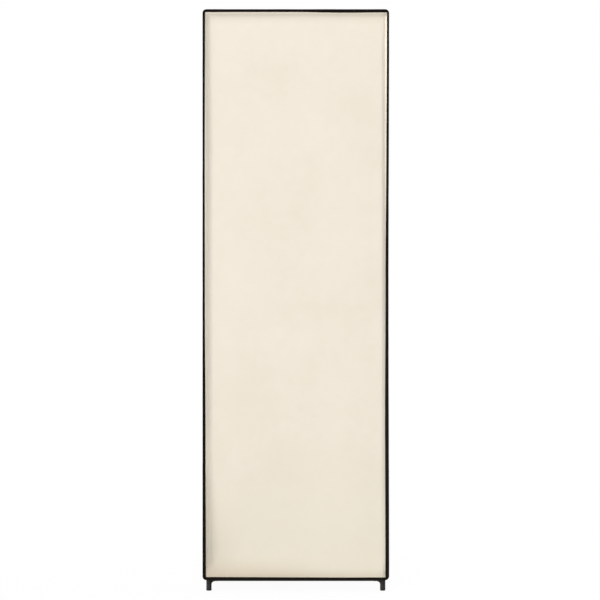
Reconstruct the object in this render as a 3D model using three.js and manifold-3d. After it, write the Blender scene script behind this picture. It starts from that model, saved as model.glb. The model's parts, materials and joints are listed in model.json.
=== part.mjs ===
// Portable fabric wardrobe: black tube frame on push-fit connectors, cream cover, roll-up zip door
import * as THREE from "three";
import { mergeVertices } from "three/addons/utils/BufferGeometryUtils.js";
import Module from "manifold-3d";

const wasm = await Module();
wasm.setup();

// Overall sizes, in millimetres
const OVERALL_HEIGHT = 1590;
const UPRIGHT_SPAN_X = 854;
const UPRIGHT_SPAN_Y = 476;
const SHELF_HEIGHT = 380;
const RAIL_UNDERSIDE = 25.7;

// Tubes and the spigots inside them
const TUBE_RADIUS = 8;
const TUBE_WALL = 0.5;
const CLEARANCE = 0.3;
const ROUND_SIDES = 16;

// Connectors
const ARM_LENGTH = 24;
const SPIGOT_LENGTH = 22;
const SPIGOT_EASE = 0.35;
const FOOT_RADIUS = 7.3;
const WEB_THICKNESS = 3;
const WEB_START = 17.8;
const WEB_LENGTH = 20;
const WEB_CURVE_SHARES = [[0.37, 0], [0.43, 0.45], [0.62, 0.82], [1, 1]];

// Cover cloth, its wrap round a tube and its fin out to the corner seam
const CLOTH_THICKNESS = 0.8;
const COVER_EASE = 0.2;
const SEAM_GAP = 0.33;
const SEAM_EASE = 0.25;
const FIN_EASE = 0.42;
const WRAP_SHARES = [0, 0.37, 0.7, 1];
const FLARE_SHARES = [0.23, 0.62, 1];
const SEAM_SHARES = [0, 0.4, 0.75, 1];
const FLAT_INSET = 10;

// Piping in the corner seams
const PIPING_RADIUS = 2.75;
const PIPING_OUT = 14.25;
const PIPING_CORNER = 8;
const PIPING_SIDES = 8;
const PIPING_CORNER_STEPS = 5;
const PIPING_HEM_HEIGHT = 32.8;

// Hem of the cover
const HEM_FLARE = 5;
const HEM_FLARE_HEIGHT = 70;
const HEM_SHARES = [0, 0.035, 0.07, 0.18, 0.35, 0.6, 1];

// Header, door and zips
const HEADER_HEIGHT = 48;
const ZIP_FROM_CORNER = 61;
const COIL_INNER = 0.9;
const COIL_OUTER = 3.1;
const COIL_DEPTH = 1.8;
const TAPE_THICKNESS = 0.6;
const TAPE_EASE = 0.4;
const TAPE_WIDTH = 15;
const CLOTH_FROM_ZIP = 4.5;
const DOOR_HEM_HEIGHT = 14;
const DOOR_HEM_THICKNESS = 3;
const DOOR_HEM_FROM_ZIP = 7;
const DOOR_HEM_EASE = 1.2;

// Zip sliders and their pull tabs
const SLIDER_FROM_HEM = 24;
const SLIDER_LENGTH = 14;
const SLIDER_HALF_WIDTH = 4;
const SLIDER_PLATE = 1;
const SLIDER_REAR_PLATE = 0.6;
const SLIDER_GAP = 0.3;
const SLIDER_POST_HALF = 0.55;
const LUG_INNER = 1.6;
const LUG_OUTER = 2.6;
const LUG_RISE = 2.6;
const LUG_HEIGHT = 2.4;
const PIN_RADIUS = 0.55;
const PIN_RISE = 1.9;
const PIN_FROM_TOP = 3;
const EYE_HOLE_RADIUS = 0.85;
const EYE_RADIUS = 1.6;
const EYE_HALF_WIDTH = 1.3;
const TAB_HALF_WIDTH = 2.6;
const TAB_HALF_THICKNESS = 0.7;
const TAB_LENGTH = 30;
const TAB_NECK = 6;

// Straps that hold the rolled door
const STRAP_FROM_MIDDLE = 190;
const STRAP_WIDTH = 22;
const STRAP_THICKNESS = 1;
const STRAP_LENGTH = 250;
const STRAP_TOP_DROP = 14;
const STRAP_SEWN = 16;
const STRAP_BEND = 24;
const STRAP_EASE = 0.4;

// Shelves
const SLEEVE_END_INSET = 27;
const DECK_END_INSET = 11;
const DECK_SIDE_INSET = 16;
const SLEEVE_EASE = 0.2;
const SLEEVE_THICKNESS = 0.6;
const SLEEVE_FLAP = 26;
const SLEEVE_FLAP_DROP = 1.3;
const SLEEVE_STEPS = 12;
const SHELF_SAG = 6;
const DECK_STEPS = 8;

// Sizes worked out from the ones above
const HALF_X = UPRIGHT_SPAN_X / 2;
const HALF_Y = UPRIGHT_SPAN_Y / 2;
const LOW_RAIL = RAIL_UNDERSIDE + TUBE_RADIUS;
const TOP_RAIL = OVERALL_HEIGHT - PIPING_OUT - PIPING_RADIUS;
const HEM_EDGE = PIPING_HEM_HEIGHT + PIPING_RADIUS + CLEARANCE;
const HEADER_EDGE = TOP_RAIL - HEADER_HEIGHT;
const ZIP_X = HALF_X - ZIP_FROM_CORNER;
const SPIGOT_RADIUS = TUBE_RADIUS - TUBE_WALL - SPIGOT_EASE;
const SLEEVE_RADIUS = TUBE_RADIUS + SLEEVE_EASE + SLEEVE_THICKNESS / 2;
const CLOTH_BACK = SLEEVE_RADIUS + SLEEVE_THICKNESS / 2 + COVER_EASE;
const CLOTH_RADIUS = CLOTH_BACK + CLOTH_THICKNESS / 2;
const CLOTH_FRONT = CLOTH_BACK + CLOTH_THICKNESS;
const FIN_SHIFT = (CLOTH_THICKNESS + SEAM_GAP) * Math.SQRT1_2;
const FIN_REACH = PIPING_OUT - FIN_SHIFT / 2 - (PIPING_RADIUS + FIN_EASE) * Math.SQRT1_2;
const KINK_REACH = (Math.sqrt(2 * CLOTH_RADIUS ** 2 - FIN_SHIFT ** 2) - FIN_SHIFT) / 2;
const SEAM_REACH = CLOTH_RADIUS * Math.SQRT1_2 - SEAM_EASE;
const CORNER_ROUND = PIPING_CORNER - PIPING_OUT + FIN_REACH;
const TAPE_BACK = CLOTH_FRONT + TAPE_EASE;
const TAPE_FRONT = TAPE_BACK + TAPE_THICKNESS;
const COIL_FRONT = TAPE_BACK + COIL_DEPTH;
const HEM_BAR_FRONT = CLOTH_BACK + DOOR_HEM_THICKNESS;
const STRAP_STAND_OFF = HEM_BAR_FRONT + STRAP_EASE + STRAP_THICKNESS / 2;
const LEVELS = [["bottom", LOW_RAIL], ["shelf", SHELF_HEIGHT], ["top", TOP_RAIL]];
const SIDES = [["left", -1], ["right", 1]];
const ENDS = [["front", -1], ["back", 1]];

const steel = new THREE.MeshStandardMaterial({ color: 0x1d1a17, metalness: 0.6, roughness: 0.45 });
const plastic = new THREE.MeshStandardMaterial({ color: 0x1c1d1a, roughness: 0.6 });
const cloth = new THREE.MeshStandardMaterial({ color: 0xf0e7d8, roughness: 0.95 });
const black = new THREE.MeshStandardMaterial({ color: 0x14110e, roughness: 0.9 });
const metal = new THREE.MeshStandardMaterial({ color: 0x3a3a3a, metalness: 0.8, roughness: 0.4 });

const point = (x, y, z) => new THREE.Vector3(x, y, z);
const wardrobe = new THREE.Group();
wardrobe.name = "fabric_wardrobe";

function add(name, geometry, material) {
  geometry.computeVertexNormals();
  const mesh = new THREE.Mesh(geometry, material);
  mesh.name = name;
  wardrobe.add(mesh);
}

// A closed geometry from points and faces, turned so that its faces look outward
function closed(points, faces) {
  let volume = 0;
  for (const [a, b, c] of faces) {
    const across = new THREE.Vector3().crossVectors(points[b], points[c]);
    volume += points[a].dot(across);
  }
  const index = faces.flatMap(([a, b, c]) => (volume > 0 ? [a, b, c] : [a, c, b]));
  const geometry = new THREE.BufferGeometry();
  const flat = points.flatMap((p) => [p.x, p.y, p.z]);
  geometry.setAttribute("position", new THREE.Float32BufferAttribute(flat, 3));
  geometry.setIndex(index);
  return geometry;
}

// A geometry as a solid that can be joined and cut
function toSolid(geometry) {
  const bare = geometry.clone();
  bare.deleteAttribute("normal");
  bare.deleteAttribute("uv");
  const merged = mergeVertices(bare);
  const vertProperties = Float32Array.from(merged.attributes.position.array);
  const triVerts = Uint32Array.from(merged.index.array);
  return new wasm.Manifold(new wasm.Mesh({ numProp: 3, vertProperties, triVerts }));
}

function fromSolid(solid) {
  const mesh = solid.getMesh();
  const geometry = new THREE.BufferGeometry();
  geometry.setAttribute("position", new THREE.Float32BufferAttribute(mesh.vertProperties, 3));
  geometry.setIndex([...mesh.triVerts]);
  return geometry;
}

function joined(geometries) {
  return geometries.map(toSolid).reduce((whole, next) => whole.add(next));
}

// Frame tubes, hollow and open ended
function tube(from, to) {
  const span = new THREE.Vector3().subVectors(to, from);
  const half = span.length() / 2;
  const inner = TUBE_RADIUS - TUBE_WALL;
  const profile = [[inner, -half], [TUBE_RADIUS, -half], [TUBE_RADIUS, half], [inner, half], [inner, -half]];
  const geometry = new THREE.LatheGeometry(profile.map(([r, h]) => new THREE.Vector2(r, h)), ROUND_SIDES);
  const turn = new THREE.Quaternion();
  turn.setFromUnitVectors(new THREE.Vector3(0, 1, 0), span.clone().normalize());
  geometry.applyQuaternion(turn);
  const middle = new THREE.Vector3().addVectors(from, to).divideScalar(2);
  geometry.translate(middle.x, middle.y, middle.z);
  return geometry;
}

// A round bar along one axis, from one distance along it to another
function bar(axis, radius, from, to, at) {
  const geometry = new THREE.CylinderGeometry(radius, radius, Math.abs(to - from), ROUND_SIDES);
  geometry.translate(0, (from + to) / 2, 0);
  if (axis === "x") geometry.rotateZ(-Math.PI / 2);
  if (axis === "z") geometry.rotateX(Math.PI / 2);
  geometry.translate(at.x, at.y, at.z);
  return geometry;
}

// One arm of a connector: a shoulder as thick as the tubes, then the spigot that fits inside one
function arm(axis, way, at) {
  const outer = bar(axis, TUBE_RADIUS, 0, way * ARM_LENGTH, at);
  const spigot = bar(axis, SPIGOT_RADIUS, 0, way * (ARM_LENGTH + SPIGOT_LENGTH), at);
  return [outer, spigot];
}

// The thin curved web in the angle under an arm of a foot
function footWeb(along, at) {
  const rise = LOW_RAIL - TUBE_RADIUS - WEB_START;
  const curve = WEB_CURVE_SHARES.map(([out, up]) => [out * WEB_LENGTH, WEB_START + up * rise]);
  const outline = [[0, LOW_RAIL], [0, WEB_START], ...curve, [WEB_LENGTH, LOW_RAIL]];
  const up = point(0, 0, 1);
  const geometry = extruded(outline, WEB_THICKNESS);
  geometry.translate(0, 0, -WEB_THICKNESS / 2);
  geometry.applyMatrix4(new THREE.Matrix4().makeBasis(along, up, along.clone().cross(up)));
  geometry.translate(at.x, at.y, 0);
  return geometry;
}

// A closed outline, made solid along +Z
function extruded(outline, depth) {
  const shape = new THREE.Shape(outline.map(([x, y]) => new THREE.Vector2(x, y)));
  return new THREE.ExtrudeGeometry(shape, { depth, bevelEnabled: false });
}

function connector(level, side, end) {
  const height = LEVELS[level][1];
  const at = point(side * HALF_X, end * HALF_Y, height);
  const pieces = [...arm("x", -side, at), ...arm("y", -end, at)];
  if (level > 0) pieces.push(...arm("z", -1, at));
  if (level < LEVELS.length - 1) pieces.push(...arm("z", 1, at));
  if (level !== 1) {
    const ball = new THREE.SphereGeometry(TUBE_RADIUS, ROUND_SIDES, ROUND_SIDES / 2);
    pieces.push(ball.rotateX(Math.PI / 2).translate(at.x, at.y, at.z));
  }
  if (level === 0) {
    pieces.push(bar("z", FOOT_RADIUS, -height, 0, at));
    pieces.push(footWeb(point(-side, 0, 0), at), footWeb(point(0, -end, 0), at));
  }
  return fromSolid(joined(pieces));
}

const reach = ARM_LENGTH + CLEARANCE;

for (const [endName, end] of ENDS) {
  for (const [sideName, side] of SIDES) {
    const corner = `${endName}_${sideName}`;
    const x = side * HALF_X;
    const y = end * HALF_Y;
    add(`foot_connector_${corner}`, connector(0, side, end), plastic);
    add(`shelf_connector_${corner}`, connector(1, side, end), plastic);
    add(`top_connector_${corner}`, connector(2, side, end), plastic);
    const lower = tube(point(x, y, LOW_RAIL + reach), point(x, y, SHELF_HEIGHT - reach));
    const upper = tube(point(x, y, SHELF_HEIGHT + reach), point(x, y, TOP_RAIL - reach));
    add(`upright_lower_${corner}`, lower, steel);
    add(`upright_upper_${corner}`, upper, steel);
    const topRail = tube(point(x, end * reach, TOP_RAIL), point(x, end * (HALF_Y - reach), TOP_RAIL));
    add(`top_side_rail_${corner}`, topRail, steel);
  }
}
for (const [levelName, height] of LEVELS) {
  for (const [endName, end] of ENDS) {
    const y = end * HALF_Y;
    const rail = tube(point(reach - HALF_X, y, height), point(HALF_X - reach, y, height));
    add(`${levelName}_rail_${endName}`, rail, steel);
  }
  if (levelName === "top") continue;
  for (const [sideName, side] of SIDES) {
    const x = side * HALF_X;
    const rail = tube(point(x, reach - HALF_Y, height), point(x, HALF_Y - reach, height));
    add(`${levelName}_side_rail_${sideName}`, rail, steel);
  }
}

// The hanging rail and the two tees that carry it
for (const [sideName, side] of SIDES) {
  const at = point(side * HALF_X, 0, TOP_RAIL);
  const pieces = [...arm("x", -side, at), ...arm("y", 1, at), ...arm("y", -1, at)];
  add(`rail_tee_${sideName}`, fromSolid(joined(pieces)), plastic);
}
add("hanging_rail", tube(point(reach - HALF_X, 0, TOP_RAIL), point(HALF_X - reach, 0, TOP_RAIL)), steel);

// A sheet of even thickness on a grid of points
function formedSheet(columns, rows, place, creaseWay) {
  const wide = columns.length;
  const tall = rows.length;
  const middle = rows.flatMap((row) => columns.map((column) => place(column, row)));
  const at = (i, j) => middle[j * wide + i];
  const along = (i, j, di, dj) => {
    const back = di ? (i > 0 ? at(i - 1, j) : null) : (j > 0 ? at(i, j - 1) : null);
    const ahead = di ? (i < wide - 1 ? at(i + 1, j) : null) : (j < tall - 1 ? at(i, j + 1) : null);
    const sum = new THREE.Vector3();
    if (back) sum.add(new THREE.Vector3().subVectors(at(i, j), back).normalize());
    if (ahead) sum.add(new THREE.Vector3().subVectors(ahead, at(i, j)).normalize());
    return sum.normalize();
  };
  const points = [];
  for (const way of [1, -1]) {
    for (let j = 0; j < tall; j += 1) {
      for (let i = 0; i < wide; i += 1) {
        const normal = new THREE.Vector3().crossVectors(along(i, j, 1, 0), along(i, j, 0, 1)).normalize();
        points.push(at(i, j).clone().addScaledVector(normal, way * CLOTH_THICKNESS / 2));
      }
    }
  }
  const far = wide * tall;
  const faces = [];
  for (let j = 0; j < tall - 1; j += 1) {
    for (let i = 0; i < wide - 1; i += 1) {
      const a = j * wide + i;
      const [b, c, d] = [a + 1, a + wide + 1, a + wide];
      const acrossMiddle = (columns[i] + columns[i + 1]) / 2;
      const upMiddle = (rows[j] + rows[j + 1]) / 2;
      const rising = creaseWay(acrossMiddle, upMiddle) > 0;
      const pair = rising ? [[a, b, c], [a, c, d]] : [[a, b, d], [b, c, d]];
      for (const [p, q, r] of pair) {
        faces.push([p, q, r], [far + p, far + r, far + q]);
      }
    }
  }
  const rim = (p, q) => faces.push([q, p, far + p], [q, far + p, far + q]);
  for (let i = 0; i < wide - 1; i += 1) {
    rim(i, i + 1);
    rim((tall - 1) * wide + i + 1, (tall - 1) * wide + i);
  }
  for (let j = 0; j < tall - 1; j += 1) {
    rim((j + 1) * wide, j * wide);
    rim(j * wide + wide - 1, (j + 1) * wide + wide - 1);
  }
  return closed(points, faces);
}

const clamp = (value) => Math.min(1, Math.max(0, value));
const archRadius = (past) => Math.sqrt(Math.max(0, CLOTH_RADIUS ** 2 - Math.max(0, past) ** 2));
const standOff = (past) => Math.max(archRadius(past), past + FIN_SHIFT);
const seamDrop = (past) => CLOTH_RADIUS - archRadius(past);
const finStart = SEAM_REACH;

// Rounds the corner of a sheet: both values are lengths past the centre of the corner's round
function rounded(across, along) {
  if (across <= 0 || along <= 0) return [across, along];
  const p = across / CORNER_ROUND;
  const q = along / CORNER_ROUND;
  return [across * Math.sqrt(1 - q * q / 2), along * Math.sqrt(1 - p * p / 2)];
}

const wrapSteps = WRAP_SHARES.map((share) => share * KINK_REACH);
const flareSteps = FLARE_SHARES.map((share) => KINK_REACH + share * (FIN_REACH - KINK_REACH));
const finSteps = [-FLAT_INSET, ...wrapSteps, ...flareSteps];
const finColumns = (half) => finSteps.map((past) => half + past);
const bothWays = (values) => [...values.map((value) => -value).reverse(), ...values];
const hemRows = HEM_SHARES.map((share) => HEM_EDGE + share * HEM_FLARE_HEIGHT);
const seamRows = SEAM_SHARES.map((share) => TOP_RAIL + share * SEAM_REACH);
const roundStart = FIN_REACH - CORNER_ROUND;

// Side panels of the cover
function sidePlace(side) {
  return (y, z) => {
    const pastEnd = Math.abs(y) - HALF_Y;
    const pastTop = z - TOP_RAIL;
    const low = clamp(1 - (z - HEM_EDGE) / HEM_FLARE_HEIGHT);
    const flare = HEM_FLARE * low * low * (1 - clamp(pastEnd / FIN_REACH));
    const x = side * (HALF_X + standOff(Math.max(pastEnd, pastTop)) + flare);
    const turn = Math.sign(y);
    if (z > TOP_RAIL) {
      const [across, along] = rounded(pastEnd - roundStart, pastTop - roundStart);
      return point(x, turn * (HALF_Y + roundStart + across), TOP_RAIL + roundStart + along);
    }
    const centre = HEM_EDGE + CORNER_ROUND;
    const [across, along] = rounded(pastEnd - roundStart, centre - z);
    return point(x, turn * (HALF_Y + roundStart + across), centre - along);
  };
}
const middleHeight = TOP_RAIL / 2;
for (const [sideName, side] of SIDES) {
  const columns = bothWays(finColumns(HALF_Y));
  const rows = [...hemRows, ...finColumns(TOP_RAIL)];
  const crease = (y, z) => y * (z - middleHeight);
  add(`cover_side_${sideName}`, formedSheet(columns, rows, sidePlace(side), crease), cloth);
}

// Back, header and stiles, which stand against the back and front of the frame
function uprightPlace(end) {
  return (x, z) => {
    const pastSide = Math.abs(x) - HALF_X;
    const drop = seamDrop(z - TOP_RAIL) * (1 - clamp(pastSide / finStart));
    const y = end * (HALF_Y + standOff(pastSide) - drop);
    const centre = HEM_EDGE + CORNER_ROUND;
    const [across, along] = rounded(pastSide - roundStart, centre - z);
    return point(Math.sign(x) * (HALF_X + roundStart + across), y, centre - along);
  };
}
const frontCrease = (x, z) => x * (z - middleHeight);
const sideColumns = finColumns(HALF_X);
const backRows = [...hemRows, TOP_RAIL - FLAT_INSET, ...seamRows];
const back = formedSheet(bothWays(sideColumns), backRows, uprightPlace(1), frontCrease);
add("cover_back", back, cloth);
const headerRows = [HEADER_EDGE, TOP_RAIL - FLAT_INSET, ...seamRows];
const header = formedSheet(bothWays(sideColumns), headerRows, uprightPlace(-1), frontCrease);
add("front_header", header, cloth);
for (const [sideName, side] of SIDES) {
  const columns = [ZIP_X + CLOTH_FROM_ZIP, ...sideColumns].map((value) => side * value);
  if (side < 0) columns.reverse();
  const rows = [...hemRows, HEADER_EDGE - CLEARANCE];
  add(`front_stile_${sideName}`, formedSheet(columns, rows, uprightPlace(-1), frontCrease), cloth);
}

// Top panel of the cover
function topPlace(x, y) {
  const pastSide = Math.abs(x) - HALF_X;
  const drop = seamDrop(Math.abs(y) - HALF_Y) * (1 - clamp(pastSide / finStart));
  return point(x, y, TOP_RAIL + standOff(pastSide) - drop);
}
const topRows = bothWays([HALF_Y - FLAT_INSET, ...SEAM_SHARES.map((share) => HALF_Y + share * SEAM_REACH)]);
add("cover_top", formedSheet(bothWays(sideColumns), topRows, topPlace, (x, y) => x * y), cloth);

// Piping: a round cord swept round each side panel as a closed loop
function pipingLoop(side) {
  const halfY = HALF_Y + PIPING_OUT - PIPING_CORNER;
  const low = PIPING_HEM_HEIGHT + PIPING_CORNER;
  const high = TOP_RAIL + PIPING_OUT - PIPING_CORNER;
  const corners = [[halfY, high], [-halfY, high], [-halfY, low], [halfY, low]];
  const points = [];
  corners.forEach(([y, z], quarter) => {
    for (let step = 0; step <= PIPING_CORNER_STEPS; step += 1) {
      const angle = (quarter + step / PIPING_CORNER_STEPS) * Math.PI / 2;
      for (let turn = 0; turn < PIPING_SIDES; turn += 1) {
        const around = turn / PIPING_SIDES * Math.PI * 2;
        const outward = PIPING_CORNER + PIPING_RADIUS * Math.cos(around);
        const x = side * (HALF_X + PIPING_OUT) + PIPING_RADIUS * Math.sin(around);
        points.push(point(x, y + outward * Math.cos(angle), z + outward * Math.sin(angle)));
      }
    }
  });
  const rings = points.length / PIPING_SIDES;
  const faces = [];
  for (let ring = 0; ring < rings; ring += 1) {
    const next = (ring + 1) % rings;
    for (let turn = 0; turn < PIPING_SIDES; turn += 1) {
      const beside = (turn + 1) % PIPING_SIDES;
      const a = ring * PIPING_SIDES + turn;
      const b = next * PIPING_SIDES + turn;
      const c = next * PIPING_SIDES + beside;
      const d = ring * PIPING_SIDES + beside;
      faces.push([a, b, c], [a, c, d]);
    }
  }
  return closed(points, faces);
}
for (const [sideName, side] of SIDES) add(`piping_${sideName}`, pipingLoop(side), black);

// A plan outline, given as place across and distance out from the front tubes, made solid upward
function frontExtrusion(outline, low, high) {
  const plan = outline.map(([x, out]) => [x, -HALF_Y - out]);
  return extruded(plan, high - low).translate(0, 0, low);
}

// The door: cloth with half of each zip sewn to its edges
const doorBottom = HEM_EDGE + DOOR_HEM_HEIGHT + DOOR_HEM_EASE;
const doorTop = HEADER_EDGE - CLEARANCE;
function doorEdge(side) {
  const from = (gap) => side * (ZIP_X - gap);
  return [
    [from(CLOTH_FROM_ZIP), CLOTH_BACK],
    [from(CLOTH_FROM_ZIP), TAPE_BACK],
    [from(COIL_INNER), TAPE_BACK],
    [from(COIL_INNER), COIL_FRONT],
    [from(COIL_OUTER), COIL_FRONT],
    [from(COIL_OUTER), TAPE_FRONT],
    [from(TAPE_WIDTH), TAPE_FRONT],
    [from(TAPE_WIDTH), CLOTH_FRONT],
  ];
}
const doorOutline = [...doorEdge(1), ...doorEdge(-1).reverse()];
add("door_panel", frontExtrusion(doorOutline, doorBottom, doorTop), cloth);

const hemHalf = ZIP_X - DOOR_HEM_FROM_ZIP;
const hemOutline = [
  [-hemHalf, CLOTH_BACK],
  [hemHalf, CLOTH_BACK],
  [hemHalf, HEM_BAR_FRONT],
  [-hemHalf, HEM_BAR_FRONT],
];
const hemBar = frontExtrusion(hemOutline, HEM_EDGE, HEM_EDGE + DOOR_HEM_HEIGHT);
add("door_hem", hemBar, black);

// Zip tapes on the stiles, then the sliders and pull tabs
for (const [sideName, side] of SIDES) {
  const from = (gap) => side * (ZIP_X + gap);
  const outline = [
    [from(COIL_INNER), TAPE_BACK],
    [from(TAPE_WIDTH), TAPE_BACK],
    [from(TAPE_WIDTH), TAPE_FRONT],
    [from(COIL_OUTER), TAPE_FRONT],
    [from(COIL_OUTER), COIL_FRONT],
    [from(COIL_INNER), COIL_FRONT],
  ];
  add(`zip_tape_${sideName}`, frontExtrusion(outline, doorBottom, doorTop), black);

  const low = HEM_EDGE + SLIDER_FROM_HEM;
  const high = low + SLIDER_LENGTH;
  const block = (left, right, inside, outside, bottom, top) => {
    const corners = [[left, inside], [right, inside], [right, outside], [left, outside]];
    return frontExtrusion(corners.map(([x, out]) => [side * ZIP_X + x, out]), bottom, top);
  };
  const plateBack = COIL_FRONT + SLIDER_GAP;
  const plateFront = plateBack + SLIDER_PLATE;
  const rearFront = TAPE_BACK - SLIDER_GAP;
  const rearBack = rearFront - SLIDER_REAR_PLATE;
  const pinOut = plateFront + PIN_RISE;
  const pinHeight = high - PIN_FROM_TOP;
  const lugs = [-1, 1].map((way) => {
    const [left, right] = [way * LUG_INNER, way * LUG_OUTER].sort((a, b) => a - b);
    const lugLow = pinHeight - LUG_HEIGHT / 2;
    return block(left, right, plateBack, plateFront + LUG_RISE, lugLow, lugLow + LUG_HEIGHT);
  });
  const pinAt = point(side * ZIP_X, -HALF_Y - pinOut, pinHeight);
  const slider = joined([
    block(-SLIDER_HALF_WIDTH, SLIDER_HALF_WIDTH, plateBack, plateFront, low, high),
    block(-SLIDER_HALF_WIDTH, SLIDER_HALF_WIDTH, rearBack, rearFront, low, high),
    block(-SLIDER_POST_HALF, SLIDER_POST_HALF, rearBack, plateFront, low, high),
    ...lugs,
    bar("x", PIN_RADIUS, -LUG_OUTER, LUG_OUTER, pinAt),
  ]);
  add(`zip_slider_${sideName}`, fromSolid(slider), metal);

  const tabInside = pinOut - TAB_HALF_THICKNESS;
  const tabOutside = pinOut + TAB_HALF_THICKNESS;
  const tabLow = pinHeight - TAB_LENGTH;
  const neckLow = pinHeight - TAB_NECK;
  const tab = joined([
    bar("x", EYE_RADIUS, -EYE_HALF_WIDTH, EYE_HALF_WIDTH, pinAt),
    block(-EYE_HALF_WIDTH, EYE_HALF_WIDTH, tabInside, tabOutside, neckLow, pinHeight),
    block(-TAB_HALF_WIDTH, TAB_HALF_WIDTH, tabInside, tabOutside, tabLow, neckLow),
  ]).subtract(toSolid(bar("x", EYE_HOLE_RADIUS, -LUG_OUTER, LUG_OUTER, pinAt)));
  add(`pull_tab_${sideName}`, fromSolid(tab), metal);
}

// A ribbon of even thickness along a line of points, as a closed outline
function ribbon(line, thickness) {
  const turned = line.map((here, i) => {
    const sum = new THREE.Vector2();
    if (i > 0) sum.add(here.clone().sub(line[i - 1]).normalize());
    if (i < line.length - 1) sum.add(line[i + 1].clone().sub(here).normalize());
    sum.normalize();
    return new THREE.Vector2(-sum.y, sum.x);
  });
  const one = line.map((here, i) => here.clone().addScaledVector(turned[i], thickness / 2));
  const other = line.map((here, i) => here.clone().addScaledVector(turned[i], -thickness / 2));
  return [...one, ...other.reverse()].map((p) => [p.x, p.y]);
}

// Turns an outline of y and z into a solid that runs along x between two places
function crossExtrusion(outline, left, right) {
  const turn = new THREE.Matrix4().makeBasis(point(0, 1, 0), point(0, 0, 1), point(1, 0, 0));
  return extruded(outline, right - left).applyMatrix4(turn).translate(left, 0, 0);
}

for (const [sideName, side] of SIDES) {
  const top = TOP_RAIL - STRAP_TOP_DROP;
  const sewn = CLOTH_FRONT + CLEARANCE + STRAP_THICKNESS / 2;
  const line = [
    new THREE.Vector2(-HALF_Y - sewn, top),
    new THREE.Vector2(-HALF_Y - sewn, top - STRAP_SEWN),
    new THREE.Vector2(-HALF_Y - STRAP_STAND_OFF, top - STRAP_SEWN - STRAP_BEND),
    new THREE.Vector2(-HALF_Y - STRAP_STAND_OFF, top - STRAP_LENGTH),
  ];
  const middle = side * STRAP_FROM_MIDDLE;
  const outline = ribbon(line, STRAP_THICKNESS);
  const strap = crossExtrusion(outline, middle - STRAP_WIDTH / 2, middle + STRAP_WIDTH / 2);
  add(`tie_strap_${sideName}`, strap, black);
}

// Cloth shelves with sleeves that the front and back rails pass through
function shelf(height) {
  const startY = -SLEEVE_FLAP;
  const startZ = SLEEVE_RADIUS - SLEEVE_FLAP_DROP;
  const startAngle = Math.atan2(startZ, startY);
  const span = Math.acos(SLEEVE_RADIUS / Math.hypot(startY, startZ));
  const from = startAngle + span;
  const to = Math.PI * 2.5;
  const half = [new THREE.Vector2(HALF_Y + startY, height + startZ)];
  for (let step = 0; step <= SLEEVE_STEPS; step += 1) {
    const angle = from + (to - from) * step / SLEEVE_STEPS;
    const y = HALF_Y + SLEEVE_RADIUS * Math.cos(angle);
    half.push(new THREE.Vector2(y, height + SLEEVE_RADIUS * Math.sin(angle)));
  }
  const deck = [];
  for (let step = 1; step < DECK_STEPS; step += 1) {
    const share = 1 - 2 * step / DECK_STEPS;
    const sag = SHELF_SAG * (1 - share * share);
    deck.push(new THREE.Vector2(HALF_Y * share, height + SLEEVE_RADIUS - sag));
  }
  const other = half.map((p) => new THREE.Vector2(-p.x, p.y)).reverse();
  const whole = ribbon([...half, ...deck, ...other], SLEEVE_THICKNESS);
  const sleeved = crossExtrusion(whole, SLEEVE_END_INSET - HALF_X, HALF_X - SLEEVE_END_INSET);
  const inset = HALF_Y - DECK_SIDE_INSET;
  const first = deck[0];
  const edgeShare = (HALF_Y - inset) / (HALF_Y - first.x);
  const edgeZ = height + SLEEVE_RADIUS + (first.y - height - SLEEVE_RADIUS) * edgeShare;
  const wide = [new THREE.Vector2(inset, edgeZ), ...deck, new THREE.Vector2(-inset, edgeZ)];
  const deckHalf = HALF_X - DECK_END_INSET;
  const flat = crossExtrusion(ribbon(wide, SLEEVE_THICKNESS), -deckHalf, deckHalf);
  return fromSolid(joined([sleeved, flat]));
}
add("floor_shelf", shelf(LOW_RAIL), cloth);
add("middle_shelf", shelf(SHELF_HEIGHT), cloth);

export default wardrobe;
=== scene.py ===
# Portable fabric wardrobe: a black push-fit tube frame under a cream cloth cover edged with black piping
import json
import math

import bmesh
import bpy
from mathutils import Matrix, Vector, noise


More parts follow.
